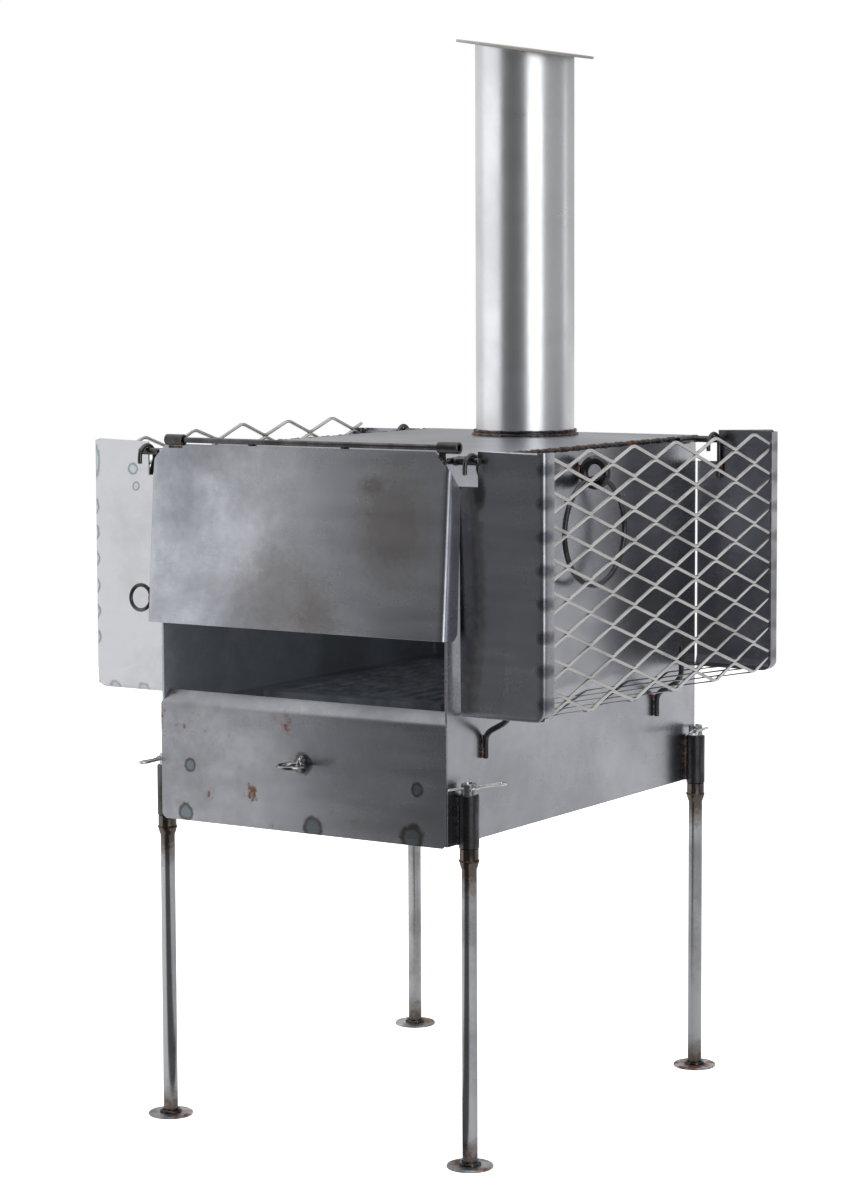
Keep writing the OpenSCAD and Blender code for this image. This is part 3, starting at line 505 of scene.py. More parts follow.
def bare_steel(name, light, dark, rough, size, rust, balance=0.5, spread=0.16, scratch=0.4, change=0.14,
               bump=0.006, marks=(), metallic=1.0, seed=(0, 0, 0), rust_size=60.0, mark_tones=None):
    """Bare steel: cloudy rolled surface, heat marks, rust specks and scratches on a metal shader. Each mark
    is (centre, radius, stretch, strength), and the mark tones are the colours of its core and its ring."""
    found = bpy.data.materials.get(name)
    if found:
        return found
    tones = bpy.context.scene.stove_colours
    material = bpy.data.materials.new(name)
    material.use_nodes = True
    tree = material.node_tree
    shader = tree.nodes["Principled BSDF"]
    shader.inputs["Metallic"].default_value = metallic
    place = put(tree, "ShaderNodeTexCoord").outputs["Object"]
    moved = put(tree, "ShaderNodeMapping", {"Vector": place, "Location": seed}).outputs[0]
    clouds = use(tree, "Mill clouds", Vector=moved, Size=size, Light=light, Dark=dark, Balance=balance,
                 Spread=spread)
    tint = clouds.outputs["Color"]
    for centre, radius, stretch, strength in marks:
        blue, straw = mark_tones or (tones.blue, tones.straw)
        mark = use(tree, "Heat mark", Base=tint, Vector=place, Centre=centre, Radius=radius,
                   Stretch=stretch, Blue=blue, Straw=straw, Strength=strength)
        tint = mark.outputs["Color"]
    stains = use(tree, "Rust specks", Base=tint, Vector=moved, Size=rust_size, Amount=rust, Rust=tones.rust)
    lines = use(tree, "Scratches", Vector=moved, Amount=scratch)
    lighter = mix(tree, calc(tree, "MULTIPLY", lines.outputs["Mask"], 0.5), stains.outputs["Color"],
                  tuple(min(1, c * 1.5) for c in light))
    grain = use(tree, "Sheet grain", Vector=moved, Roughness=rough, Change=change,
                Mask=clouds.outputs["Mask"])
    rusty = calc(tree, "MAXIMUM", grain.outputs["Roughness"],
                 calc(tree, "MULTIPLY", stains.outputs["Mask"], 0.75))
    bumped = put(tree, "ShaderNodeBump", {"Height": grain.outputs["Height"], "Strength": bump,
                                          "Distance": 0.001})
    tree.links.new(lighter, shader.inputs["Base Color"])
    tree.links.new(rusty, shader.inputs["Roughness"])
    tree.links.new(bumped.outputs[0], shader.inputs["Normal"])
    return material


def place_mark(x, y, z, radius, stretch=(1, 1, 1), strength=1.0):
    """One heat mark from millimetres in the frame of the front face."""
    return (tuple(at(x, y, z).tolist()), radius * MM, stretch, strength)


def firebox_steel():
    """The firebox sheet."""
    tones = bpy.context.scene.stove_colours
    return bare_steel("Firebox sheet", tones.steel_light, toned(tones.steel_dark, 1.1), rough=0.27, size=5.0,
                      rust=0.08, balance=0.5, spread=0.26, change=0.08, scratch=0.25)


def rod_steel():
    """Dark hot-rolled rod."""
    tones = bpy.context.scene.stove_colours
    return bare_steel("Hot-rolled rod", toned(tones.rod, 2.0), tones.rod, rough=0.27, size=40,
                      scratch=0.2, rust=0.3, bump=0.04, rust_size=160)


def weld_steel():
    """Weld metal: dark, shiny and burnt at its edges."""
    tones = bpy.context.scene.stove_colours
    return bare_steel("Weld", toned(tones.rod, 1.6), toned(tones.rod, 0.6), rough=0.28, size=120,
                      scratch=0.0, rust=0.75, bump=0.12, rust_size=120)


# Pieces

def base_sizes():
    """The user's sizes in metres."""
    return bpy.context.scene.stove_sizes


def firebox_wrap():
    """Left wall, rear panel and right wall bent from one sheet: a plan profile with two round bends,
    carried straight up."""
    low, high = span("left_wall")[0], span("right_wall")[1]
    back = span("rear_panel")[1][1]
    radius, front_strip = 8.0, 12
    turn = np.linspace(0, np.pi / 2, 13)
    right = np.stack([HALF_W - radius + radius * np.cos(turn), back - radius + radius * np.sin(turn)], -1)
    half = np.concatenate([[[HALF_W, low[1]], [HALF_W, low[1] + front_strip]], right])
    plan = np.concatenate([half, (half * [-1, 1])[::-1]])
    levels = np.array([low[2], high[2]])
    points = at(plan[None, :, 0], plan[None, :, 1], levels[:, None])
    return points.reshape(-1, 3), grid_faces(2, len(plan)).tolist()


def hotplate():
    """The hotplate with its smoke hole: rays from the hole's middle meet the hole and the plate's edge, on
    the upper and the lower face. No ray runs along an axis, where the way to the edge would be endless."""
    low, high = span("top_plate")
    collar = span("flue_collar")
    centre = (collar[0] + collar[1])[:2] / 2
    corners = np.array([[low[0], low[1]], [high[0], low[1]], [high[0], high[1]], [low[0], high[1]]]) - centre
    rays, off_axis, hole_radius = 72, 0.01, 52.0
    angles = np.sort(np.concatenate([np.linspace(-np.pi, np.pi, rays, endpoint=False) + off_axis,
                                     np.arctan2(corners[:, 1], corners[:, 0])]))
    ray = np.stack([np.cos(angles), np.sin(angles)], -1)
    across = np.where(ray[:, 0] > 0, high[0] - centre[0], low[0] - centre[0]) / ray[:, 0]
    along = np.where(ray[:, 1] > 0, high[1] - centre[1], low[1] - centre[1]) / ray[:, 1]
    edge = ray * np.minimum(across, along)[:, None] + centre
    hole = ray * hole_radius + centre
    rows = [at(hole[:, 0], hole[:, 1], high[2]), at(edge[:, 0], edge[:, 1], high[2]),
            at(edge[:, 0], edge[:, 1], low[2]), at(hole[:, 0], hole[:, 1], low[2])]
    return np.stack(rows).reshape(-1, 3), grid_faces(4, len(angles), True, True).tolist()


def door_leaned(x, back, down):
    """A place on the hanging door, given from the hinge line: back is the depth behind the leaning face's
    plane and down the distance along it, both turned by the lean about the hinge."""
    lean = base_sizes().lean
    return at(x, back * math.cos(lean) - down * math.sin(lean),
              HINGE_Z - back * math.sin(lean) - down * math.cos(lean))


def door_skin():
    """The door: a face with two side flanges, its upper corners cut. Columns run across the flat pattern,
    flange, bend, face, bend, flange, and rows from each column's upper to its lower edge."""
    half, radius, drop, low = span("door_sheet")[1][0], base_sizes().bend / MM, 4.2, 196.0
    offset, cut, deep_top, deep_low, slope, nip = 0.2, 18.8, 22.3, 25.5, 19.0, 7.0
    share = np.array([1, 0.92, 0.84, (deep_low - nip) / deep_low, 0.55, 0.35])
    turn = np.linspace(0, np.pi / 2, 7)
    arc_x = half - radius * (1 - np.cos(turn))
    arc_t = radius * (1 - np.sin(turn))
    face_x = np.concatenate([[half - radius, half - radius - 4, half - cut],
                             np.linspace(half - cut, 0, 12)[1:]])
    flange_top = drop + cut + slope * share
    flange_low = low - np.maximum(share * deep_low - (deep_low - nip), 0)
    arc_top = np.interp(turn, [0, np.pi / 2], [drop + cut + slope * radius / deep_top, drop + cut - radius])
    face_top = drop + np.maximum(face_x - (half - cut), 0)
    x = np.concatenate([np.full(len(share), half), arc_x, face_x[1:]])
    back = np.concatenate([share, arc_t, np.zeros(len(face_x) - 1)])
    is_flange = np.concatenate([np.ones(len(share)), np.zeros(len(arc_x) + len(face_x) - 1)])
    top = np.concatenate([flange_top, arc_top, face_top[1:]])
    bottom = np.concatenate([flange_low, np.full(len(arc_x) + len(face_x) - 1, low)])
    x = np.concatenate([x, -x[::-1][1:]])
    back, is_flange, top, bottom = (np.concatenate([a, a[::-1][1:]]) for a in (back, is_flange, top, bottom))
    t = np.linspace(0, 1, 16)[:, None]
    down = top * (1 - t) + bottom * t
    depth = np.interp(down, [drop + cut + slope, low - nip], [deep_top, deep_low])
    behind = offset + np.where(is_flange > 0, back * (depth - offset), back)
    crease = 0.35 * np.exp(-((down - 26) / 5) ** 2) * (1 - is_flange)
    points = door_leaned(np.broadcast_to(x, down.shape), behind + crease, down)
    return points.reshape(-1, 3), grid_faces(*down.shape).tolist()


def drawer_skin():
    """The drawer panel and its slanted lip: a side profile carried across, narrower at the lip, with its
    two lower corners cut."""
    low, high = span("drawer_front")
    lip = 13
    bend = high[2] - lip
    profile = np.array([[0, low[2]], [0, low[2] + 5], [0, low[2] + 20], [0, bend - 4], [0.15, bend - 2],
                        [0.7, bend], [1.9, bend + 1.8], [11.4, high[2]]])
    half = np.array([HALF_W - 5, HALF_W, HALF_W, HALF_W, HALF_W, HALF_W - 0.4, 181.2, 181.0])
    across = np.linspace(-1, 1, 9)
    points = at(half[:, None] * across, profile[:, :1], profile[:, 1:])
    return points.reshape(-1, 3), grid_faces(len(profile), len(across)).tolist()


def basket_plate(inner, outer, low, high, face_y, flange):
    """A basket plate: the profile face, bend, flange is carried along the lower and outer edge, round the
    corner, and the flat rest of the face is one polygon. Its inner upper corner is left open for the peg."""
    radius, corner, strip = base_sizes().bend / MM, 11.0, 9.0
    notch_from_wall, notch_high = 4.9 + 22.6, 36.0
    turn = np.linspace(0, np.pi / 2, 9)
    path = np.concatenate([[[inner, low], [(inner + outer) / 2, low]],
                           np.stack([outer - corner + corner * np.sin(turn),
                                     low + corner - corner * np.cos(turn)], -1),
                           [[outer, (low + high) / 2], [outer, high]]])
    normal = np.concatenate([[[0, -1], [0, -1]], np.stack([np.sin(turn), -np.cos(turn)], -1),
                             [[1, 0], [1, 0]]])
    bend = np.linspace(0, np.pi / 2, 7)
    inset = np.concatenate([[strip], radius * (1 - np.sin(bend)), [0]])
    depth = np.concatenate([[0], radius * (1 - np.cos(bend)), [abs(flange)]]) * np.sign(flange)
    plan = path[None] - inset[:, None, None] * normal[None]
    points = at(plan[..., 0], face_y + depth[:, None], plan[..., 1]).reshape(-1, 3)
    count = len(path)
    neck = HALF_W + notch_from_wall
    rest = at([outer - strip, neck, neck, inner], face_y,
              [high, high, high - notch_high, high - notch_high])
    faces = grid_faces(len(inset), count).tolist()
    base = len(points)
    faces.append([base, base + 1, base + 2, base + 3] + list(range(count)))
    return np.concatenate([points, rest]), faces


def facing(shape, direction):
    """The shape with its faces turned so that the widest ones look in a direction."""
    points, faces = np.asarray(shape[0]), shape[1]
    corners = np.array([[f[0], f[1], f[2]] for f in faces])
    first = points[corners[:, 0]]
    normal = np.cross(points[corners[:, 1]] - first, points[corners[:, 2]] - first)
    if (normal @ np.asarray(direction, float)).sum() < 0:
        faces = [list(face)[::-1] for face in faces]
    return points, faces


def folded_net(node_prefix, phase, peak):
    """Ribbons of expanded metal on the right side: ribbon k zigzags between two node rows, (k+1)/2 pitches
    down at even columns and k/2 and a half at odd ones, rounded down, is set off by half a strand towards
    its neighbour's side at every bond, and is folded inwards at the basket's lower edge. The upper part
    rises by the peak towards the rear."""
    sizes = base_sizes()
    low, high = span(node_prefix + "side_mesh")
    floor_low = span(node_prefix + "floor_mesh")[0]
    inner = min(abs(span(node_prefix + "floor_mesh")[0][0]), abs(span(node_prefix + "floor_mesh")[1][0]))
    plane = max(abs(low[0]), abs(high[0])) - 1.2
    width, thick = sizes.strand_width / MM, sizes.strand_thickness / MM
    tilt, plateau = sizes.strand_tilt, sizes.bond / MM / 2
    pitch, rows, stand_off, chamfer = 92.0, 8, 0.46, 0.28
    bend_run, rise_start, rise_run = 6, 100, 190
    fold = high[2] - low[2]
    row = fold / rows
    sheet_end = fold + plane - inner
    y = np.arange(low[1], high[1] + 0.1, (high[1] - low[1]) / 150)
    column = (y - phase) / (pitch / 2)
    near = np.round(column)
    ease = np.clip((np.abs(column - near) * pitch / 2 - plateau) / (pitch / 2 - 2 * plateau), 0, 0.5)
    other = near + np.sign(column - near + 1e-9)
    corners = np.array([[1, 1 - chamfer], [1 - chamfer, 1], [chamfer - 1, 1], [-1, 1 - chamfer],
                        [-1, chamfer - 1], [chamfer - 1, -1], [1 - chamfer, -1], [1, chamfer - 1]])
    shapes = []
    for k in range(int(sheet_end / row * 2)):
        def down_at(index):
            """Depth of the ribbon's node below the sheet's upper edge at a column."""
            return np.where(index % 2 == 0, row * ((k + 1) // 2), row * (k // 2 + 0.5))

        def lift_at(index):
            """Side on which the ribbon lies in the bond at a column, up 1 or down -1."""
            return np.where((index % 2 == 0) == (k % 2 == 0), -1.0, 1.0)

        down = down_at(near) * (1 - ease) + down_at(other) * ease
        lift = lift_at(near) * (1 - ease) + lift_at(other) * ease
        slope = np.gradient(down, y)
        stand = np.stack([np.zeros_like(y), 1 / np.sqrt(1 + slope ** 2)], -1)
        wide, flat = width / 2 * corners[:, 0], thick / 2 * corners[:, 1]
        shift = (lift * width * stand_off)[:, None]
        out = shift * math.sin(tilt) + wide * math.sin(tilt) + flat * math.cos(tilt)
        rise = shift * math.cos(tilt) + wide * math.cos(tilt) - flat * math.sin(tilt)
        along = y[:, None] + rise * slope[:, None] * stand[:, 1:] * 0.9
        along = np.clip(along, low[1], high[1])
        sheet = down[:, None] - rise * stand[:, 1:]
        over = np.maximum(sheet - fold + bend_run / 2, 0)
        bend = np.minimum(over / bend_run, 1) * np.pi / 2
        past = np.maximum(over - bend_run, 0)
        radius = bend_run / (np.pi / 2)
        x = plane + out * np.cos(bend) - radius * (1 - np.cos(bend)) - past
        z = high[2] - np.minimum(sheet, fold - bend_run / 2) - radius * np.sin(bend) - out * np.sin(bend)
        lifted = np.clip((along - rise_start) / rise_run, 0, 1)
        z = z + peak * lifted * lifted * (3 - 2 * lifted) * np.clip((z - low[2]) / fold, 0, 1)
        x = np.maximum(x, inner)
        z = np.clip(z, floor_low[2] - 0.2, high[2] + peak)
        points = at(x, along, z)
        faces = grid_faces(len(y), len(corners), False, True).tolist()
        last = (len(y) - 1) * len(corners)
        faces += [list(range(len(corners)))[::-1], [last + i for i in range(len(corners))]]
        shapes.append((points.reshape(-1, 3), faces))
    return joined(*shapes)


def flue_skin():
    """The pipe's wall: a closed profile of outer and inner radius turned about the axis, whose upper edge
    falls with x by the tangent of the slant."""
    low = span("flue_pipe")[0]
    centre = (span("flue_pipe")[0] + span("flue_pipe")[1])[:2] / 2
    outer = centre[0] - low[0]
    inner = outer - 2
    top_mid = span("flue_pipe")[1][2] - outer * math.tan(base_sizes().slant)
    turn = np.linspace(0, 2 * np.pi, 96, endpoint=False)
    radius = np.array([outer, outer, outer, outer - 0.4, inner + 0.4, inner, inner])[:, None]
    share = np.array([0, 0.5, 1, 1, 1, 1, 0])[:, None]
    trim = np.array([0, 0, 0.4, 0, 0, 0.4, 0])[:, None]
    x = centre[0] + radius * np.cos(turn)
    top = top_mid - x * math.tan(base_sizes().slant) - trim
    z = low[2] + (top - low[2]) * share
    points = at(x, centre[1] + radius * np.sin(turn), z)
    return points.reshape(-1, 3), grid_faces(len(radius), len(turn), True, True).tolist()


def blob(centre, size):
    """A lump: a superellipsoid, each of cos and sin raised to a power below one so that it is fuller."""
    rows, cols, power = 10, 16, 0.8

    def full(value):
        """A cosine or sine raised to the power with its sign kept."""
        return np.sign(value) * np.abs(value) ** power

    lat = np.linspace(-np.pi / 2, np.pi / 2, rows)[:, None]
    lon = np.linspace(0, 2 * np.pi, cols, endpoint=False)
    points = np.stack([full(np.cos(lat)) * full(np.cos(lon)), full(np.cos(lat)) * full(np.sin(lon)),
                       full(np.sin(lat)) * np.ones_like(lon)], -1)
    points = np.asarray(centre) + points * np.asarray(size)
    return points.reshape(-1, 3), grid_faces(rows, cols, False, True).tolist()


class STOVE_OT_firebox(bpy.types.Operator):
    """Bent firebox walls, hotplate and the inner sheets' finish"""
    bl_idname = "stove.firebox"
    bl_label = "Firebox"

    def execute(self, context):
        sizes, tones = context.scene.stove_sizes, context.scene.stove_colours
        steel = firebox_steel()
        inside = bare_steel("Fire chamber scale", toned(tones.chamber, 1.5), tones.chamber, rough=0.5,
                            size=9, rust=0.05, scratch=0.9, metallic=0.35)
        piece("firebox_walls", "stove", ("left_wall", "right_wall", "rear_panel"),
              facing(firebox_wrap(), BACKWARD), steel, thickness=sizes.thick_sheet, bevel=WALL_EDGE,
              inner=inside)
        plate = bare_steel("Hotplate sheet", toned(tones.steel_light, 1.05), tones.steel_dark, rough=0.3,
                           size=4.0, rust=0.1, spread=0.24, change=0.08, seed=(2, 1, 0))
        piece("hotplate", "stove", ("top_plate",), hotplate(), plate, bevel=PLATE_EDGE)
        for name in ("bottom_plate", "floor_plate"):
            finish(name, inside)
        for name in ("ash_tray", "tray_ends"):
            finish(name, bare_steel("Ash tray sheet", tones.steel_light, tones.steel_dark, rough=0.42, size=9,
                                    rust=0.3, seed=(0, 4, 0)))
        finish("fire_grate", bare_steel("Grate iron", toned(tones.chamber, 1.7), tones.chamber, rough=0.5,
                                        size=30, rust=0.15, bump=0.1, metallic=0.3))
        edge, top, rear_inset = HALF_W - 0.6, PLATE_TOP - 2.4, 1.6
        front, back = span("top_plate")[0][1] + 12, span("top_plate")[1][1] - 1.5
        seams = []
        for side in (1, -1):
            seams.append(bead(line(at(side * edge, front, top), at(side * edge, back, top), 300),
                              sizes.bead * 1.3, UPWARD, 0.006, seed=side))
        rear = line(at(-edge, back - rear_inset, top), at(edge, back - rear_inset, top), 200)
        seams.append(bead(rear, sizes.bead * 0.75, UPWARD, 0.0055, seed=3))
        piece("hotplate_seams", "stove", (), joined(*seams), weld_steel())
        return {"FINISHED"}


class STOVE_OT_hinge(bpy.types.Operator):
    """Hinge rod with its two welded supports"""
    bl_idname = "stove.hinge"
    bl_label = "Hinge"

    def execute(self, context):
        sizes = context.scene.stove_sizes
        low, high = span("hinge_rod")
        radius = (high[2] - low[2]) / 2
        rod = sweep(line(at(low[0], 0, HINGE_Z), at(high[0], 0, HINGE_Z), 40), radius * MM, UPWARD, 20)
        piece("hinge_rod_bar", "stove", ("hinge_rod",), rod, rod_steel())
        supports = (-60, 58)
        lumps = [blob(at(x, 3.6, PLATE_TOP + 4.2), np.array([5, 3.4, 6.2]) * MM) for x in supports]
        lumps += [blob(at(x + shift, 4.4, PLATE_TOP + 1), np.array([4, 2.6, 2]) * MM)
                  for x in supports for shift in (-5, 5)]
        piece("hinge_rod_welds", "stove", ("rod_supports",), joined(*lumps), weld_steel())
        for side in SIDES:
            low, high = span(side + "_knuckle")
            tube = lathe(np.array(tube_profile((high[2] - low[2]) / 2, 3.35, 0, high[0] - low[0], 0.5)) * MM,
                         at(low[0], 0, HINGE_Z), 32, ACROSS, True)
            piece("hinge_tube_" + side, "door", (side + "_knuckle",), tube, rod_steel())
        tabs, tab_top, tab_back, tab_thick = [], 4.6, 0.3, 1.8
        for near_x, far_x, near_low, far_low in ((-170, -147, 9.6, 9.6), (175, 183, 10, 17.6)):
            outline = door_leaned(np.array([near_x, far_x, far_x, near_x]), np.full(4, tab_back),
                                  np.array([tab_top, tab_top, far_low, near_low]))
            tabs.append(slab(outline, np.array([0, tab_thick * MM, 0])))
        piece("hinge_tab_plates", "door", ("hinge_tabs",), joined(*tabs), rod_steel(),
              bevel=THIN_EDGE)
        left_seam = line(door_leaned(-168.0, 1.2, 7.6), door_leaned(-149.0, 1.2, 7.6), 40)
        right_seam = line(door_leaned(175.5, 0.6, 8.6), door_leaned(184.0, 0.6, 16.0), 30)
        beads = [bead(left_seam, sizes.bead * 0.7, UPWARD, 0.004),
                 bead(right_seam, sizes.bead, BACKWARD, 0.004, seed=1)]
        piece("hinge_tube_welds", "door", (), joined(*beads), weld_steel())
        return {"FINISHED"}


class STOVE_OT_door(bpy.types.Operator):
    """Leaning door with its ring handle"""
    bl_idname = "stove.door"
    bl_label = "Door"

    def execute(self, context):
        sizes, tones = context.scene.stove_sizes, context.scene.stove_colours
        patches = [place_mark(-12, -12, 588, 62, (1, 0.2, 1.25), 0.24),
                   place_mark(32, -11, 560, 34, (1, 0.2, 1.2), 0.26),
                   place_mark(122, -5, 664, 52, (1.1, 0.2, 0.8), 0.3),
                   place_mark(96, -4, 704, 18, (1, 0.2, 1.6), 0.3)]
        steel = bare_steel("Door sheet", tones.steel_light, toned(tones.steel_dark, 0.95), rough=0.29,
                           size=9.0, balance=0.5, spread=0.22, scratch=0.0, rust=0.08, seed=(0.3, 0, 0.1),
                           marks=patches, mark_tones=(tones.brown, toned(tones.brown, 1.35)))
        piece("door_skin", "door", ("door_sheet",), facing(door_skin(), (0, -1, 0)), steel,
              thickness=sizes.thin_sheet, bevel=THIN_EDGE)
        centre = door_leaned(-204.4, 8.0, 171.0)
        along = door_leaned(-204.4, 8.0, 172.0) - centre
        ring = sweep(ring_path(centre, 13.5 * MM, ACROSS, along), 2.05 * MM, np.cross(ACROSS, along), 16,
                     True)
        weld = blob(door_leaned(-190.6, 8.0, 171.0), np.array([2.2, 3.4, 6.0]) * MM)
        piece("door_ring_rod", "door", ("door_ring",), ring, rod_steel())
        piece("door_ring_weld", "door", (), weld, weld_steel())
        return {"FINISHED"}


class STOVE_OT_drawer(bpy.types.Operator):
    """Drawer panel with its slanted lip and ring pull"""
    bl_idname = "stove.drawer"
    bl_label = "Ash drawer"

    def execute(self, context):
        sizes, tones = context.scene.stove_sizes, context.scene.stove_colours
        x, z = 4.7, 409.0
        marks = [place_mark(-144, 0, 395.5, 7.5), place_mark(147, 0, 393.4, 7.5),
                 place_mark(-150, 0, 344, 10), place_mark(16.6, 0, 342, 13), place_mark(140.6, 0, 343, 15),
                 place_mark(x, 0, z, 12, strength=0.8)]
        steel = bare_steel("Drawer sheet", toned(tones.steel_light, 0.74), toned(tones.steel_dark, 0.72),
                           rough=0.27, size=7, spread=0.24, rust=0.6, scratch=0.2, marks=marks,
                           seed=(1.7, 0, 0.6), rust_size=34,
                           mark_tones=((0.15, 0.18, 0.2), (0.05, 0.03, 0.02)))
        piece("drawer_panel", "drawer", ("drawer_front",), facing(drawer_skin(), (0, -1, 0)),
              steel, thickness=sizes.thin_sheet, bevel=THIN_EDGE)
        turn = np.linspace(-np.pi / 2, np.pi / 2, 24)
        eye = sweep(at(x, -8.5 * np.cos(turn), z + 7.5 * np.sin(turn)), 2.0 * MM, ACROSS, 14)
        pull = sweep(ring_path(at(x, -21, z), 14.5 * MM, ACROSS, BACKWARD), 2.0 * MM, UPWARD, 14, True)
        weld = blob(at(x, -7, z), np.array([4.2, 3.6, 4.4]) * MM)
        wire = bare_steel("Pull wire", toned(tones.tube, 0.7), toned(tones.rod, 3), rough=0.2, size=60,
                          rust=0.4, scratch=0.1, rust_size=160)
        piece("drawer_pull_ring", "drawer", ("drawer_pull",), joined(eye, pull, weld), wire)
        return {"FINISHED"}


class STOVE_OT_basket_plates(bpy.types.Operator):
    """Front and rear plates of both stone baskets"""
    bl_idname = "stove.basket_plates"
    bl_label = "Basket plates"

    def execute(self, context):
        sizes, tones = context.scene.stove_sizes, context.scene.stove_colours
        inner, outer = span("right_front_plate")[0][0], span("right_front_plate")[1][0]
        low, high = span("right_front_plate")[0][2], span("right_front_plate")[1][2]
        flange, rear_inset, wall_gap, lower_top = 18.5, 0.55, 0.4, 8
        places = {"front": (span("right_front_plate")[0][1], flange),
                  "rear": (span("right_rear_plate")[1][1] - rear_inset, -flange)}
        for side in SIDES:
            for end, (face_y, reach) in places.items():
                near = inner if end == "front" else HALF_W + wall_gap
                top = high - lower_top if (side, end) == ("left", "rear") else high
                shape = on_side(basket_plate(near, outer, low, top, face_y, reach), side)
                shape = facing(shape, (0, -np.sign(reach), 0))
                material = basket_material(side, end, tones)
                piece(f"{side}_basket_{end}_plate", side + "_basket", (f"{side}_{end}_plate",),
                      shape, material, thickness=sizes.thin_sheet, bevel=THIN_EDGE)
        return {"FINISHED"}


def basket_material(side, end, tones):
    """Steel of one basket plate, with heat marks where its welds sit. The rear plates' tones are darkened as
    painted shade.
    """
    sign, y = SIDES[side], 20.5 if end == "front" else 541.5
    if (side, end) == ("left", "front"):
        heights = (668, 640, 611, 581, 552, 524)
        marks = [place_mark(-287, y, z, 9, (1.3, 0.2, 1), 0.95) for z in heights]
        marks.append(place_mark(-286, y, 718, 9, (1.2, 0.2, 0.45), 0.8))
        marks += [place_mark(x, y, z, radius, (1, 0.2, 1), strength) for x, z, radius, strength in (
            (-232, 711, 7, 0.9), (-228, 692, 5, 0.9), (-262, 470, 8, 0.7), (-222, 470, 8, 0.7))]
        return bare_steel("Bright basket sheet", tones.bright_light, tones.bright_dark, rough=0.26, size=5,
                          balance=0.38, marks=marks, rust=0.05, scratch=0.5,
                          mark_tones=(tones.pale_blue, tones.pale_ring))
    first_bond, bond_step = 724, 33.75
    marks = [place_mark(sign * 286, y, first_bond - bond_step * k, 7.5, (0.8, 0.3, 1), 0.75)
             for k in range(8)]
    marks += [place_mark(sign * 212, y, 700, 11, (1.5, 0.2, 0.6), 0.9),
              place_mark(sign * 196, y, 590, 90, (4.2, 0.2, 0.7), 0.45)]
    # The rear plates take darker copies of the basket steel: painted shade on their inner faces, which lie in
    # the basket's shade behind the mesh.
    light, dark = (1.15, 1.05) if end == "front" else (0.78, 0.62)
    return bare_steel(f"Basket sheet {side} {end}", toned(tones.steel_light, light),
                      toned(tones.steel_dark, dark), rough=0.25, size=6, balance=0.5, marks=marks, rust=0.0,
                      scratch=0.4, seed=(sign, y * MM, 0), mark_tones=(tones.blue, tones.brown))


class STOVE_OT_expanded_mesh(bpy.types.Operator):
    """Expanded-metal side and floor of both stone baskets"""
    bl_idname = "stove.expanded_mesh"
    bl_label = "Expanded metal"

    def execute(self, context):
        tones = context.scene.stove_colours
        steel = bare_steel("Expanded metal", toned(tones.mesh, 0.86), toned(tones.mesh, 0.55),
                           rough=0.2, size=18, balance=0.4, scratch=0.1, rust=0.1, bump=0.02)
        for side, phase, peak in (("left", 14.7, 7.5), ("right", 24.5, 0.0)):
            net = folded_net(side + "_", phase, peak)
            piece(side + "_basket_net", side + "_basket", (side + "_side_mesh", side + "_floor_mesh"),
                  on_side(net, side), steel, angle=50)
        return {"FINISHED"}


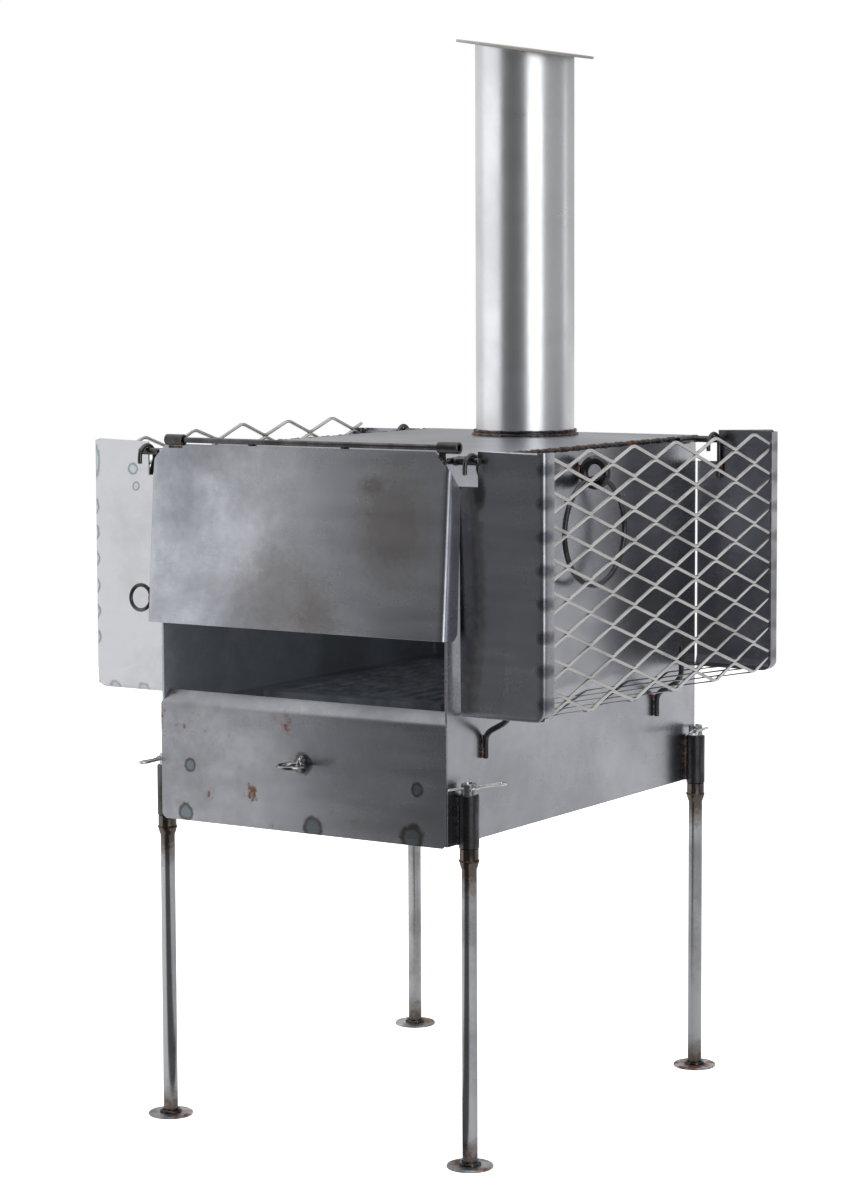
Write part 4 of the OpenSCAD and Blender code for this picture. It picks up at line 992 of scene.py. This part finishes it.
class STOVE_OT_hangers(bpy.types.Operator):
    """Wall pegs, basket hooks and floor hooks"""
    bl_idname = "stove.hangers"
    bl_label = "Hangers"

    def execute(self, context):
        sizes = context.scene.stove_sizes
        low, high = span("hanger_pegs")
        radius, peg_z = (high[2] - low[2]) / 2, (high[2] + low[2]) / 2
        near, far = HALF_W + radius, high[0]
        front_y, rear_y, leg = low[1] + radius, high[1] - radius, 36.0
        pegs, pads = [], []
        for y, back in ((front_y, 1), (rear_y, -1)):
            path = rounded(at([near, near, far], [y + back * leg, y, y], peg_z), 6 * MM, 8)
            pegs.append(sweep(path, radius * MM, UPWARD, 16))
            pads.append(bead(line(at(HALF_W + 1.2, y + back * 6, peg_z - radius * 0.8),
                                  at(HALF_W + 1.2, y + back * leg, peg_z - radius * 0.8), 60),
                             sizes.bead, UPWARD, 0.0045, seed=y))
        pegs = joined(*pegs)
        piece("peg_rods", "stove", ("hanger_pegs",), joined(pegs, mirrored(pegs)), rod_steel())
        hook_shapes = []
        hook_rows, hook_rod, hook_bend = (70.5, 438.5), 3, 9
        for y in hook_rows:
            path = rounded(at([186, 186, 210, 217.5, 217.5], y, [420, 446, 459, 468, 502]), hook_bend * MM, 8)
            hook_shapes.append(sweep(path, hook_rod * MM, BACKWARD, 14))
            for shift in (-2.6, 2.6):
                pads.append(bead(line(at(HALF_W + 1.0, y + shift, 422), at(HALF_W + 1.0, y + shift, 444), 40),
                                 sizes.bead * 1.1, BACKWARD, 0.0045, seed=y + shift))
        hooks = joined(*hook_shapes)
        piece("floor_hook_rods", "stove", ("floor_hooks", "floor_hook_welds"),
              joined(hooks, mirrored(hooks)), rod_steel())
        pads = joined(*pads)
        piece("hanger_welds", "stove", (), joined(pads, mirrored(pads)), weld_steel())
        stem_x, bow_r = 212.5, 12.9
        for side in SIDES:
            rods, beads = [], []
            for stem_y, bow_x, weld_y in ((24.9, 206.5, 23.4), (537.1, 212.5, 538.6)):
                turn = np.linspace(0, np.pi, 20)
                bow = at(bow_x, stem_y - bow_r + bow_r * np.cos(turn), 724.55 + bow_r * np.sin(turn))
                stem = rounded(at([stem_x, stem_x, bow_x, bow_x], stem_y, [687, 705, 722, 724]), 8 * MM, 6)
                tail = at([bow_x], stem_y - 2 * bow_r, [718.05])
                rods.append(sweep(np.concatenate([stem[:-1], bow, tail]), 2.4 * MM, ACROSS, 14))
                for shift in (-2.6, 2.6):
                    seam = line(at(stem_x + shift, weld_y, 688), at(stem_x + shift, weld_y, 704), 30)
                    beads.append(bead(seam, sizes.bead * 0.8, BACKWARD, 0.004, seed=stem_y + shift))
            piece(side + "_basket_hook_rods", side + "_basket", (side + "_basket_hooks",),
                  on_side(joined(*rods), side), rod_steel())
            piece(side + "_basket_hook_beads", side + "_basket", (),
                  on_side(joined(*beads), side), weld_steel())
        return {"FINISHED"}


class STOVE_OT_rings(bpy.types.Operator):
    """Carrying eyes and their drop rings"""
    bl_idname = "stove.rings"
    bl_label = "Carrying rings"

    def execute(self, context):
        sizes = context.scene.stove_sizes
        low, high = span("right_eye")
        thickest_rod = 4.75
        rod = min((high[1] - low[1]) / 2, thickest_rod)
        middle_y = (low[1] + high[1]) / 2
        eye_z = (low[2] + high[2]) / 2
        eye_radius = (high[2] - low[2]) / 2 - rod
        eye_x = high[0] - rod - eye_radius
        ring_low, ring_high = span("right_drop_ring")
        ring_z = (ring_low[2] + ring_high[2]) / 2
        drop_rod = 2.9
        ring_radius = (ring_high[2] - ring_low[2]) / 2 - drop_rod
        turn = math.radians(4)
        for side in SIDES:
            centre = at(eye_x, middle_y, eye_z)
            eye = sweep(ring_path(centre, eye_radius * MM, ACROSS, UPWARD), rod * MM, BACKWARD, 18, True)
            foot = bead(ring_path(at(HALF_W + 0.8, middle_y, eye_z), 5.6 * MM, BACKWARD, UPWARD, 40),
                        sizes.bead * 1.1, ACROSS, 0.004, True)
            piece(side + "_eye_ring", "stove", (side + "_eye",), on_side(eye, side), rod_steel())
            piece(side + "_eye_weld", "stove", (), on_side(foot, side), weld_steel())
            along = (math.sin(turn), math.cos(turn), 0)
            ring = sweep(ring_path(at(eye_x, middle_y, ring_z), ring_radius * MM, along, UPWARD, 96),
                         drop_rod * MM, np.cross(along, UPWARD), 14, True)
            seam = lathe(np.array([(0, -3), (3.1, -2.4), (3.4, 0), (3.1, 2.4), (0, 3)]) * MM,
                         at(eye_x, middle_y, ring_z) - ring_radius * MM * np.array(UPWARD), 16, along)
            piece(side + "_drop_ring_rod", side + "_ring", (side + "_drop_ring",),
                  on_side(joined(ring, seam), side), rod_steel())
        return {"FINISHED"}


def one_leg(end, side, tube_steel, foot_steel):
    """Socket, leg tube with its stop ring, foot disc and welds of one leg."""
    sizes = base_sizes()
    node = f"{end}_{side}_"
    foot_low, foot_high = span(node + "foot")
    x, y = (foot_low + foot_high)[:2] / 2
    x = abs(x)
    socket_low, socket_high = span(node + "socket")
    base, top = socket_low[2], socket_high[2]
    outer = (socket_high[1] - socket_low[1]) / 2
    axis = at(x, y, 0)
    bore, tube, hollow, stop_below, web_reach = 8.35, 8, 6, 12.5, 8
    socket = lathe(np.array(tube_profile(outer, bore, base, top, 0.6)) * MM, axis, segments=40, closed=True)
    piece(node + "socket_tube", "stove", (node + "socket",), on_side(socket, side), rod_steel())
    beads = []
    for shift in (-4.2, 4.2):
        seam = line(at(HALF_W + 1.2, y + shift, base + 3), at(HALF_W + 1.2, y + shift, top - 3), 90)
        beads.append(bead(seam, sizes.bead * 1.35, BACKWARD, 0.005, seed=y + shift))
    web_from, web_to, margin = HALF_W + 0.1, x - web_reach, 3
    web = slab(at([web_from, web_to, web_to, web_from], [y - 3.6, y - 5.5, y + 5.5, y + 3.6], base + margin),
               np.array([0, 0, (top - base - 2 * margin) * MM]))
    piece(node + "socket_weld", "stove", (), on_side(joined(web, *beads), side), weld_steel())
    spigot = span(node + "leg")[1][2]
    stop = base - stop_below
    profile = [(tube, 3), (tube, stop - 9.5), (8.5, stop - 8.2), (9.6, stop - 5), (10.2, stop - 2),
               (10, stop), (10, base - 0.8), (9.4, base - 0.2), (tube, base - 0.2), (tube, spigot - 0.8),
               (7.4, spigot), (6.2, spigot), (hollow, spigot - 0.6), (hollow, 3)]
    leg = lathe(np.array(profile) * MM, axis, segments=36, closed=True)
    piece(node + "leg_tube", "stove", (node + "leg",), on_side(leg, side), tube_steel)
    disc = lathe(np.array([(0, 0.3), (20, 0), (24, 0.2), (24.5, 0.9), (24.4, 2.2), (23.7, 3), (9, 3),
                           (0, 3)]) * MM, axis, segments=56)
    piece(node + "foot_disc", "stove", (node + "foot",), on_side(disc, side),
          foot_steel)
    rings = [bead(ring_path(at(x, y, 3.6), 9.4 * MM, ACROSS, BACKWARD, 60), sizes.bead * 1.15,
                  UPWARD, 0.0075, True, seed=y),
             bead(ring_path(at(x, y, stop - 0.6), 9.3 * MM, ACROSS, BACKWARD, 60), sizes.bead * 0.7,
                  UPWARD, 0.005, True, seed=y + 1)]
    piece(node + "leg_welds", "stove", (), on_side(joined(*rings), side), weld_steel())


class STOVE_OT_legs(bpy.types.Operator):
    """Sockets, leg tubes, stop rings and foot discs"""
    bl_idname = "stove.legs"
    bl_label = "Legs"

    def execute(self, context):
        tones = context.scene.stove_colours
        leg_x, leg_rows, foot_z = 194.5, (24.5, 517), 8
        stop_z = span("front_right_socket")[0][2] - 14
        burns = [place_mark(x, y, z, radius, (1, 1, 0.6), 0.85) for x in (-leg_x, leg_x) for y in leg_rows
                 for z, radius in ((stop_z, 23), (foot_z, 15))]
        tube_steel = bare_steel("Leg tube", toned(tones.tube, 0.54), toned(tones.tube, 0.34), rough=0.22,
                                size=13, balance=0.45, rust=0.22, scratch=0.3, rust_size=90, marks=burns,
                                mark_tones=(toned(tones.brown, 0.55), tones.brown))
        foot_steel = bare_steel("Foot disc", toned(tones.tube, 0.6), toned(tones.tube, 0.25),
                                rough=0.4, size=30, rust=0.85, rust_size=70)
        for end in ("front", "rear"):
            for side in SIDES:
                one_leg(end, side, tube_steel, foot_steel)
        return {"FINISHED"}


class STOVE_OT_clips(bpy.types.Operator):
    """Wire clips through the legs' upper ends"""
    bl_idname = "stove.clips"
    bl_label = "Clips"

    def execute(self, context):
        tones = context.scene.stove_colours
        steel = bare_steel("Plated wire", tones.zinc, toned(tones.zinc, 0.7), rough=0.16, size=60,
                           scratch=0.0, rust=0.0, bump=0.02)
        aims = {"front_left": (-85, -1), "front_right": (72, -1), "rear_left": (-108, -1),
                "rear_right": (-72, 1)}
        bow = np.radians(np.linspace(38, 112, 10))
        loop = np.radians(np.linspace(-90, 90, 14))
        local = np.concatenate([
            [[-27, 0]], np.linspace([-8, 0], [36, 0], 8),
            np.stack([41 + 4 * np.cos(loop), 4 + 4 * np.sin(loop)], -1),
            [[34, 7.6], [27, 6.0], [21, 4.9], [16, 5.1], [12, 6.4]],
            np.stack([10.3 * np.cos(bow), 10.3 * np.sin(bow)], -1),
            [[-6.5, 10.6], [-9, 12.4]]])
        for name, (aim, arm) in aims.items():
            low, high = span(name + "_foot")
            x, y = (low + high)[:2] / 2
            z = span(name + "_socket")[1][2] + 7.5
            angle = math.radians(aim)
            flat = local * [1, arm]
            path = at(x + flat[:, 0] * math.cos(angle) - flat[:, 1] * math.sin(angle),
                      y + flat[:, 0] * math.sin(angle) + flat[:, 1] * math.cos(angle), z)
            piece(name + "_wire_clip", name + "_clip", (name + "_clip",),
                  sweep(path, 1.5 * MM, UPWARD, 12), steel)
        return {"FINISHED"}


class STOVE_OT_flue(bpy.types.Operator):
    """Flue pipe, its collar and the loose cover plate"""
    bl_idname = "stove.flue"
    bl_label = "Flue"

    def execute(self, context):
        sizes, tones = context.scene.stove_sizes, context.scene.stove_colours
        steel = bare_steel("Flue tube", tones.tube, toned(tones.tube, 0.85), rough=0.31, size=9, rust=0.1,
                           scratch=0.2, change=0.06, rust_size=90)
        piece("flue_tube", "flue", ("flue_pipe",), flue_skin(), steel)
        low, high = span("flue_collar")
        centre = (low + high)[:2] / 2
        collar = lathe(np.array(tube_profile((high[0] - low[0]) / 2, 57.4, low[2], high[2] - 1.2, 0.8)) * MM,
                       at(*centre, 0), segments=96, closed=True)
        upper = ring_path(at(*centre, high[2] - 1.8), 58.6 * MM, ACROSS, BACKWARD, 220)
        lower = ring_path(at(*centre, low[2] + 0.8), 60.0 * MM, ACROSS, BACKWARD, 220)
        seam = bead(upper, sizes.bead * 0.75, UPWARD, 0.006, True)
        foot = bead(lower, sizes.bead, UPWARD, 0.006, True, seed=2)
        piece("flue_collar_ring", "stove", ("flue_collar",), joined(collar, seam, foot),
              weld_steel())
        top_mid = span("flue_pipe")[1][2] - span("flue_pipe")[1][0] * math.tan(sizes.slant)
        axis = (math.sin(sizes.slant), 0, math.cos(sizes.slant))
        disc = lathe(np.array([(0, 0), (79.2, 0), (79.75, 0.5), (79.75, 2.5), (79.2, 3), (0, 3)]) * MM,
                     at(centre[0], centre[1], top_mid), 128, axis)
        paint = bare_steel("Cover plate", tones.cover, toned(tones.cover, 0.93), rough=0.6, size=8,
                           metallic=0.0, rust=0.0, scratch=0.1)
        piece("flue_cover_disc", "cover", ("flue_cover",), disc, paint)
        return {"FINISHED"}


class STOVE_OT_stage(bpy.types.Operator):
    """Floor, light cards, white surroundings and camera"""
    bl_idname = "stove.stage"
    bl_label = "Stage"

    def execute(self, context):
        scene = context.scene
        tones = scene.stove_colours
        floor_radius, fill = 4.0, (0.055, 0.058, 0.064)
        ring = ring_path((0, 0, 0), floor_radius, ACROSS, BACKWARD, 96)
        mesh = bpy.data.meshes.new("floor")
        mesh.from_pydata(ring.tolist(), [], [list(range(len(ring)))])
        mesh.materials.append(floor_material(tones))
        floor = bpy.data.objects.new("floor", mesh)
        scene.collection.objects.link(floor)
        cards = [card("left_box", (-0.72, -1.25), (-2.2, -0.14), 0.0, 2.1, 1.2),
                 card("left_paper", (-2.2, -0.14), (-2.0, 2.0), 0.0, 2.1, 0.8),
                 card("front_flag", (-0.72, -1.25), (2.1, -2.5), 0.0, 3.2, 0.11),
                 card("right_flag", (3.2, -0.9), (3.0, -0.4), 0.0, 3.2, 0.2),
                 card("right_box", (2.1, -2.5), (3.2, -0.9), 0.1, 2.4, 2.3),
                 card("back_paper", (1.35, 2.0), (-2.0, 2.0), 0.0, 0.8, 0.9),
                 card("back_paper_top", (1.35, 2.0), (-2.0, 2.0), 0.8, 2.4, 0.5),
                 card("side_paper", (3.0, -0.4), (1.9, 2.0), 0.0, 2.0, 0.38),
                 overhead("top_box", (-0.6, -0.4), 1.5, 2.7, 1.6),
                 card("chamber_front", (0.12, -0.235), (0.12, -0.12), 0.56, 0.71, 1.0),
                 card("chamber_rear", (0.14, -0.1), (0.14, 0.25), 0.52, 0.72, 0.45)]
        world = bpy.data.worlds.new("Studio")
        scene.world = world
        world.use_nodes = True
        tree = world.node_tree
        light = tree.nodes["Background"]
        path = put(tree, "ShaderNodeLightPath").outputs
        metal_or_glass = calc(tree, "MAXIMUM", path["Is Glossy Ray"], path["Is Transmission Ray"])
        seen = calc(tree, "MAXIMUM", path["Is Camera Ray"], metal_or_glass)
        tree.links.new(mix(tree, seen, fill, (1, 1, 1)), light.inputs["Color"])
        camera_data = bpy.data.cameras.new("photo_camera")
        sensor, focal_px, frame_px, middle_row = 36, 3099.79, 1200, 566.3
        camera_data.sensor_width = sensor
        camera_data.sensor_fit = "AUTO"
        camera_data.lens = focal_px * sensor / frame_px
        camera_data.shift_y = -(frame_px / 2 - middle_row) / frame_px
        camera_data.clip_end = 50
        camera = bpy.data.objects.new("photo_camera", camera_data)
        scene.collection.objects.link(camera)
        turn, pitch, roll = math.radians(32.8735), math.radians(5.2214), math.radians(-0.23096)
        ahead = Vector((-math.sin(turn) * math.cos(pitch), math.cos(turn) * math.cos(pitch),
                        -math.sin(pitch)))
        right = Vector((math.cos(turn), math.sin(turn), 0))
        up = right.cross(ahead)
        level = right * math.cos(roll) + up * math.sin(roll)
        over = up * math.cos(roll) - right * math.sin(roll)
        matrix = Matrix((level, over, -ahead)).transposed().to_4x4()
        matrix.translation = Vector((1.8632, -2.88297, 0.91038))
        camera.matrix_world = matrix
        scene.camera = camera
        scene.view_settings.view_transform = "Standard"
        return {"FINISHED"}


def floor_material(tones):
    """Matte floor, lifted to the background's white for the camera alone so that it keeps its shadow. For
    light and reflections it is dark in a sector in front of the stove and close to it, and pale behind. Its
    pale sectors also glow faintly for every ray, as painted bounce light that brightens the stove's lower
    sides and the legs' reflections."""
    material = bpy.data.materials.new("Floor")
    material.use_nodes = True
    tree = material.node_tree
    shader = tree.nodes["Principled BSDF"]
    place = put(tree, "ShaderNodeTexCoord").outputs["Object"]
    reach = put(tree, "ShaderNodeVectorMath", {0: place}, operation="LENGTH").outputs["Value"]
    aim = put(tree, "ShaderNodeVectorMath", {0: place}, operation="NORMALIZE").outputs[0]
    front = put(tree, "ShaderNodeVectorMath", {0: aim, 1: (0.087, -0.996, 0)}, operation="DOT_PRODUCT")
    beside = smooth(tree, front.outputs["Value"], 0.94, 0.84)
    sides = calc(tree, "MULTIPLY", beside, smooth(tree, reach, 1.8, 1.35))
    depth = put(tree, "ShaderNodeSeparateXYZ", {0: place}).outputs["Y"]
    pale_and_glowing = calc(tree, "MAXIMUM", sides, smooth(tree, depth, 0.0, 0.6))
    pale = smooth(tree, pale_and_glowing, 0.0, 1.0, 0.22, 1.0)
    shader.inputs["Roughness"].default_value = 0.9
    shader.inputs["Specular IOR Level"].default_value = 0.0
    seen = put(tree, "ShaderNodeLightPath").outputs["Is Camera Ray"]
    shade = calc(tree, "MAXIMUM", pale, seen)
    tree.links.new(mix(tree, shade, (0, 0, 0), tuple(tones.floor)), shader.inputs["Base Color"])
    # Emission: the camera's lift to white, plus a faint glow in the pale sectors for every ray, which is
    # painted bounce light.
    lift = calc(tree, "ADD", calc(tree, "MULTIPLY", seen, 0.9), calc(tree, "MULTIPLY", pale_and_glowing, 0.3))
    glow = put(tree, "ShaderNodeEmission", {"Strength": lift})
    total = put(tree, "ShaderNodeAddShader", {0: shader.outputs[0], 1: glow.outputs[0]})
    tree.links.new(total.outputs[0], tree.nodes["Material Output"].inputs["Surface"])
    return material


def glowing(name, corners, strength):
    """A flat card that gives off light, throws no shadow and isn't seen by the camera."""
    mesh = bpy.data.meshes.new(name)
    mesh.from_pydata([tuple(c) for c in corners], [], [[0, 1, 2, 3]])
    material = bpy.data.materials.new(name)
    material.use_nodes = True
    tree = material.node_tree
    glow = put(tree, "ShaderNodeEmission", {"Color": (1, 1, 1), "Strength": strength})
    tree.links.new(glow.outputs[0], tree.nodes["Material Output"].inputs["Surface"])
    mesh.materials.append(material)
    made = bpy.data.objects.new(name, mesh)
    bpy.context.scene.collection.objects.link(made)
    made.visible_camera = False
    made.visible_shadow = False
    return made


def card(name, start, end, low, high, strength):
    """A standing card between two places on the floor plan."""
    return glowing(name, [(*start, low), (*end, low), (*end, high), (*start, high)], strength)


def overhead(name, centre, half, height, strength):
    """A lying card above the stove."""
    x, y = centre
    corners = [(x + i * half, y + j * half, height) for i, j in ((-1, -1), (1, -1), (1, 1), (-1, 1))]
    return glowing(name, corners, strength)


PIECES = (STOVE_OT_firebox, STOVE_OT_hinge, STOVE_OT_door, STOVE_OT_drawer, STOVE_OT_basket_plates,
          STOVE_OT_expanded_mesh, STOVE_OT_hangers, STOVE_OT_rings, STOVE_OT_legs, STOVE_OT_clips,
          STOVE_OT_flue, STOVE_OT_stage)


class STOVE_PT_panel(bpy.types.Panel):
    """Lists the pieces of the stove and their sizes and colours"""
    bl_idname = "STOVE_PT_panel"
    bl_label = "Tent sauna stove"
    bl_space_type = "VIEW_3D"
    bl_region_type = "UI"
    bl_category = "Stove"

    def draw(self, context):
        for operator in PIECES:
            self.layout.operator(operator.bl_idname)
        for settings in (context.scene.stove_sizes, context.scene.stove_colours):
            column = self.layout.column()
            for key in settings.__annotations__:
                column.prop(settings, key)


CLASSES = (StoveSizes, StoveColours) + PIECES + (STOVE_PT_panel,)


def register():
    """Makes the pieces, the panel and the settings known."""
    for item in CLASSES:
        bpy.utils.register_class(item)
    bpy.types.Scene.stove_sizes = bpy.props.PointerProperty(type=StoveSizes)
    bpy.types.Scene.stove_colours = bpy.props.PointerProperty(type=StoveColours)


def unregister():
    """Takes them away again."""
    del bpy.types.Scene.stove_colours
    del bpy.types.Scene.stove_sizes
    for item in reversed(CLASSES):
        bpy.utils.unregister_class(item)


def main():
    """Builds every piece."""
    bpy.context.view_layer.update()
    register()
    for operator in PIECES:
        group, name = operator.bl_idname.split(".")
        getattr(getattr(bpy.ops, group), name)()
    bpy.context.view_layer.update()


if __name__ == "__main__":
    main()
